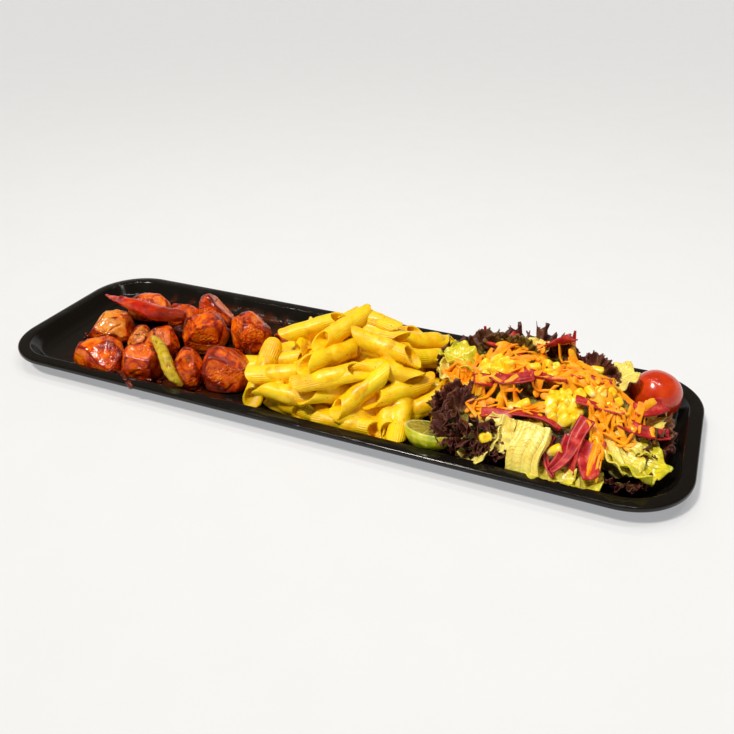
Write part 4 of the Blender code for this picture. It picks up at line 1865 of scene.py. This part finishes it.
def make_corn(settings):
    pile = salad_pile("salad_bed", "pale_lettuce", "red_leaf_strips", "carrot_shreds")
    roof = Pile(SALAD_LOW, SALAD_HIGH, [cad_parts["salad_heap"]])
    model = model_kernel(settings.kernel)
    draw = random.Random(8)
    kernels = []
    for (x, y), along, across, heading in CORN_CLUMPS:
        turn = math.radians(heading)
        ahead = Vector((math.cos(turn), math.sin(turn)))
        side = Vector((-ahead.y, ahead.x))
        lean = Euler((draw.gauss(0, 0.35), draw.gauss(0, 0.35), turn)).to_matrix().to_4x4()
        if along * across <= 2:
            tip = (draw.uniform(-1.2, 1.2), draw.uniform(-1.2, 1.2), turn)
            lean = Euler(tip).to_matrix().to_4x4()
        for i in range(along):
            for j in range(across):
                shift = ahead * (i - (along - 1) / 2) * CORN_ALONG
                shift += side * (j - (across - 1) / 2) * CORN_ACROSS
                wander = Vector((draw.gauss(0, 0.4), draw.gauss(0, 0.4), 0))
                place = (Vector((x + shift.x, y + shift.y, 0)) + wander) * MM
                askew = Euler([draw.gauss(0, 0.30) for _ in range(3)]).to_matrix().to_4x4()
                grown = Matrix.Scale(draw.uniform(0.88, 1.10), 4)
                kernel = copy_at(model, Matrix.Translation(place) @ lean @ askew @ grown)
                kernels.append(kernel)
                pile.drop(kernel, 2.2 * MM, roof)
    remove([model])
    return dress(join(kernels, "sweetcorn"), corn_skin(settings.corn), "salad")


# --------------------------------------------------------------------------------------------
# Tomato and lime


def make_tomato():
    low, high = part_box("cherry_tomato")
    middle = (low + high) / 2
    deselect()
    bpy.ops.mesh.primitive_uv_sphere_add(segments=64, ring_count=40, radius=1)
    tomato = bpy.context.object
    tomato.name = "shiny_tomato"
    for vertex in tomato.data.vertices:
        x, y, z = vertex.co
        side = math.hypot(x, y)
        tip = 0.03 * math.exp(-((side / 0.25) ** 2)) if z > 0 else 0
        dimple = -0.10 * math.exp(-((side / 0.22) ** 2)) if z < 0 else 0
        lobes = 1 + 0.012 * math.sin(5 * math.atan2(y, x)) * side
        taper = 1 - 0.06 * z
        vertex.co = (x * taper * lobes, y * taper * lobes, z * (0.97 + tip + dimple))
    tomato.scale = (high - low) / 2
    tomato.rotation_euler = radians((22, -14, 0))
    tomato.location = middle
    apply_place(tomato)
    return dress(tomato, tomato_skin(), "tomato", "cherry_tomato")


def make_lime():
    """The wedge's rind and its cut face, one piece with two materials."""
    low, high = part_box("lime_wedge")
    lime = from_node("cut_lime", "lime_wedge", 0.5 * MM, smoothing=1)
    middle = (low + high) / 2
    cut = Vector((0.043, 0.306, 0.951))
    lime.data.materials.clear()
    lime.data.materials.append(lime_rind())
    lime.data.materials.append(lime_flesh(Vector((middle.x, middle.y, 0))))
    for face in lime.data.polygons:
        face.material_index = int(face.normal.dot(cut) > 0.93 and face.center.z > middle.z - 2 * MM)
    push(lime, lambda place, normal: 0.15 * MM * noise.noise(place / (2.2 * MM)))
    return dress(lime, None, "lime", "lime_wedge")


# --------------------------------------------------------------------------------------------
# Stage


def make_light(name, place, aim, size, power, colour):
    light = bpy.data.lights.new(name, "AREA")
    light.shape = "RECTANGLE"
    light.size, light.size_y = size
    light.energy = power
    light.color = colour
    lamp = bpy.data.objects.new(name, light)
    lamp.location = place
    lamp.rotation_euler = (Vector(aim) - Vector(place)).to_track_quat("-Z", "Y").to_euler()
    bpy.context.scene.collection.objects.link(lamp)
    return lamp


def make_stage(settings):
    deselect()
    bpy.ops.mesh.primitive_plane_add(size=FLOOR_SIZE, location=(0, 0, -0.2 * MM))
    floor = bpy.context.object
    floor.name = "floor"
    floor.data.materials.append(pale_floor(tuple(settings.floor)))
    deselect()
    bpy.ops.mesh.primitive_cylinder_add(
        vertices=96,
        radius=BACKDROP_RADIUS,
        depth=BACKDROP_HEIGHT,
        end_fill_type="NOTHING",
        location=(0, 0, BACKDROP_HEIGHT / 2 - 0.01),
    )
    backdrop = bpy.context.object
    backdrop.name = "backdrop"
    backdrop.data.materials.append(pale_floor(tuple(settings.floor), BACKDROP_GLOW))
    bpy.context.scene.view_settings.view_transform = "Standard"
    world = bpy.data.worlds.new("dim room")
    world.use_nodes = True
    world.node_tree.nodes["Background"].inputs["Color"].default_value = (1.0, 0.88, 0.72, 1)
    world.node_tree.nodes["Background"].inputs["Strength"].default_value = 0.12
    bpy.context.scene.world = world
    sun = bpy.data.lights.new("soft key", "SUN")
    sun.energy = 2.4
    sun.angle = math.radians(7)
    sun.color = (1.0, 0.95, 0.87)
    key = bpy.data.objects.new("soft key", sun)
    key.rotation_euler = Vector((0.30, 0.50, -1.0)).to_track_quat("-Z", "Y").to_euler()
    bpy.context.scene.collection.objects.link(key)
    warm, cool = (1.0, 0.92, 0.78), (0.96, 0.97, 1.0)
    for number, place in enumerate(SPOTS):
        aim = (place[0] * 0.5, 0, 0.02)
        make_light("spot %d" % number, place, aim, (SPOT_SIZE, SPOT_SIZE), SPOT_POWER, warm)
    make_light("strip", (0.15, -0.10, 0.80), (0.15, -0.06, 0), (0.50, 0.02), 1.2, cool)


def make_camera(settings):
    camera = bpy.data.cameras.new("camera")
    camera.sensor_width = 36
    camera.lens = settings.lens
    camera.clip_start = 0.01
    holder = bpy.data.objects.new("camera", camera)
    holder.location = CAMERA_PLACE
    gaze = (Vector(CAMERA_AIM) - holder.location).to_track_quat("-Z", "Y")
    holder.rotation_mode = "QUATERNION"
    holder.rotation_quaternion = gaze @ Quaternion((0, 0, 1), math.radians(CAMERA_ROLL))
    bpy.context.scene.collection.objects.link(holder)
    bpy.context.scene.camera = holder


# --------------------------------------------------------------------------------------------
# Operators


class MEAL_OT_tray(bpy.types.Operator):
    """Models the black melamine tray"""

    bl_idname = "meal.tray"
    bl_label = "Tray"

    def execute(self, context):
        make_tray(context.scene.meal_tray)
        return {"FINISHED"}


class MEAL_OT_chicken(bpy.types.Operator):
    """Carves the glazed chicken, the chilli and the strip of pepper, with the sauce round them"""

    bl_idname = "meal.chicken"
    bl_label = "Glazed chicken"

    def execute(self, context):
        settings = context.scene.meal_chicken
        material = glazed_meat(tuple(settings.glaze), tuple(settings.meat))
        for number in range(len(CHUNKS)):
            make_chunk(number, settings, material)
        make_chilli()
        make_pepper()
        make_drops("glaze_puddles", sauce_places(), dark_sauce())
        make_crumbs()
        return {"FINISHED"}


class MEAL_OT_penne(bpy.types.Operator):
    """Heaps the penne and fills the gaps with cream sauce"""

    bl_idname = "meal.penne"
    bl_label = "Penne"

    def execute(self, context):
        make_penne(context.scene.meal_pasta)
        return {"FINISHED"}


class MEAL_OT_leaves(bpy.types.Operator):
    """Builds the salad's bed, lettuce, frilly leaves and red strips"""

    bl_idname = "meal.leaves"
    bl_label = "Salad leaves"

    def execute(self, context):
        make_bed()
        make_lettuce()
        make_rib()
        make_frilly_leaves()
        make_red_strips()
        return {"FINISHED"}


class MEAL_OT_toppings(bpy.types.Operator):
    """Lays the carrot and the sweetcorn on the leaves"""

    bl_idname = "meal.toppings"
    bl_label = "Carrot and sweetcorn"

    def execute(self, context):
        make_carrot(context.scene.meal_salad)
        make_corn(context.scene.meal_salad)
        return {"FINISHED"}


class MEAL_OT_fruit(bpy.types.Operator):
    """Models the cherry tomato and the lime"""

    bl_idname = "meal.fruit"
    bl_label = "Tomato and lime"

    def execute(self, context):
        make_tomato()
        make_lime()
        return {"FINISHED"}


class MEAL_OT_stage(bpy.types.Operator):
    """Sets up the floor, the lights and the camera"""

    bl_idname = "meal.stage"
    bl_label = "Stage"

    def execute(self, context):
        make_stage(context.scene.meal_stage)
        make_camera(context.scene.meal_stage)
        return {"FINISHED"}


STEPS = (
    MEAL_OT_stage,
    MEAL_OT_tray,
    MEAL_OT_chicken,
    MEAL_OT_penne,
    MEAL_OT_leaves,
    MEAL_OT_toppings,
    MEAL_OT_fruit,
)


class MEAL_PT_steps(bpy.types.Panel):
    bl_label = "Meal Tray"
    bl_idname = "MEAL_PT_steps"
    bl_space_type = "VIEW_3D"
    bl_region_type = "UI"
    bl_category = "Meal Tray"

    def draw(self, context):
        for operator in STEPS:
            self.layout.operator(operator.bl_idname)


SETTINGS = {
    "meal_tray": TraySettings,
    "meal_chicken": ChickenSettings,
    "meal_pasta": PastaSettings,
    "meal_salad": SaladSettings,
    "meal_stage": StageSettings,
}


def register():
    for group in (*SETTINGS.values(), *STEPS, MEAL_PT_steps):
        bpy.utils.register_class(group)
    for name, group in SETTINGS.items():
        setattr(bpy.types.Scene, name, bpy.props.PointerProperty(type=group))


def unregister():
    for name in SETTINGS:
        delattr(bpy.types.Scene, name)
    for group in reversed((*SETTINGS.values(), *STEPS, MEAL_PT_steps)):
        bpy.utils.unregister_class(group)


def main():
    register()
    bpy.ops.meal.stage()
    bpy.ops.meal.tray()
    bpy.ops.meal.chicken()
    bpy.ops.meal.penne()
    bpy.ops.meal.leaves()
    bpy.ops.meal.toppings()
    bpy.ops.meal.fruit()


if __name__ == "__main__":
    main()
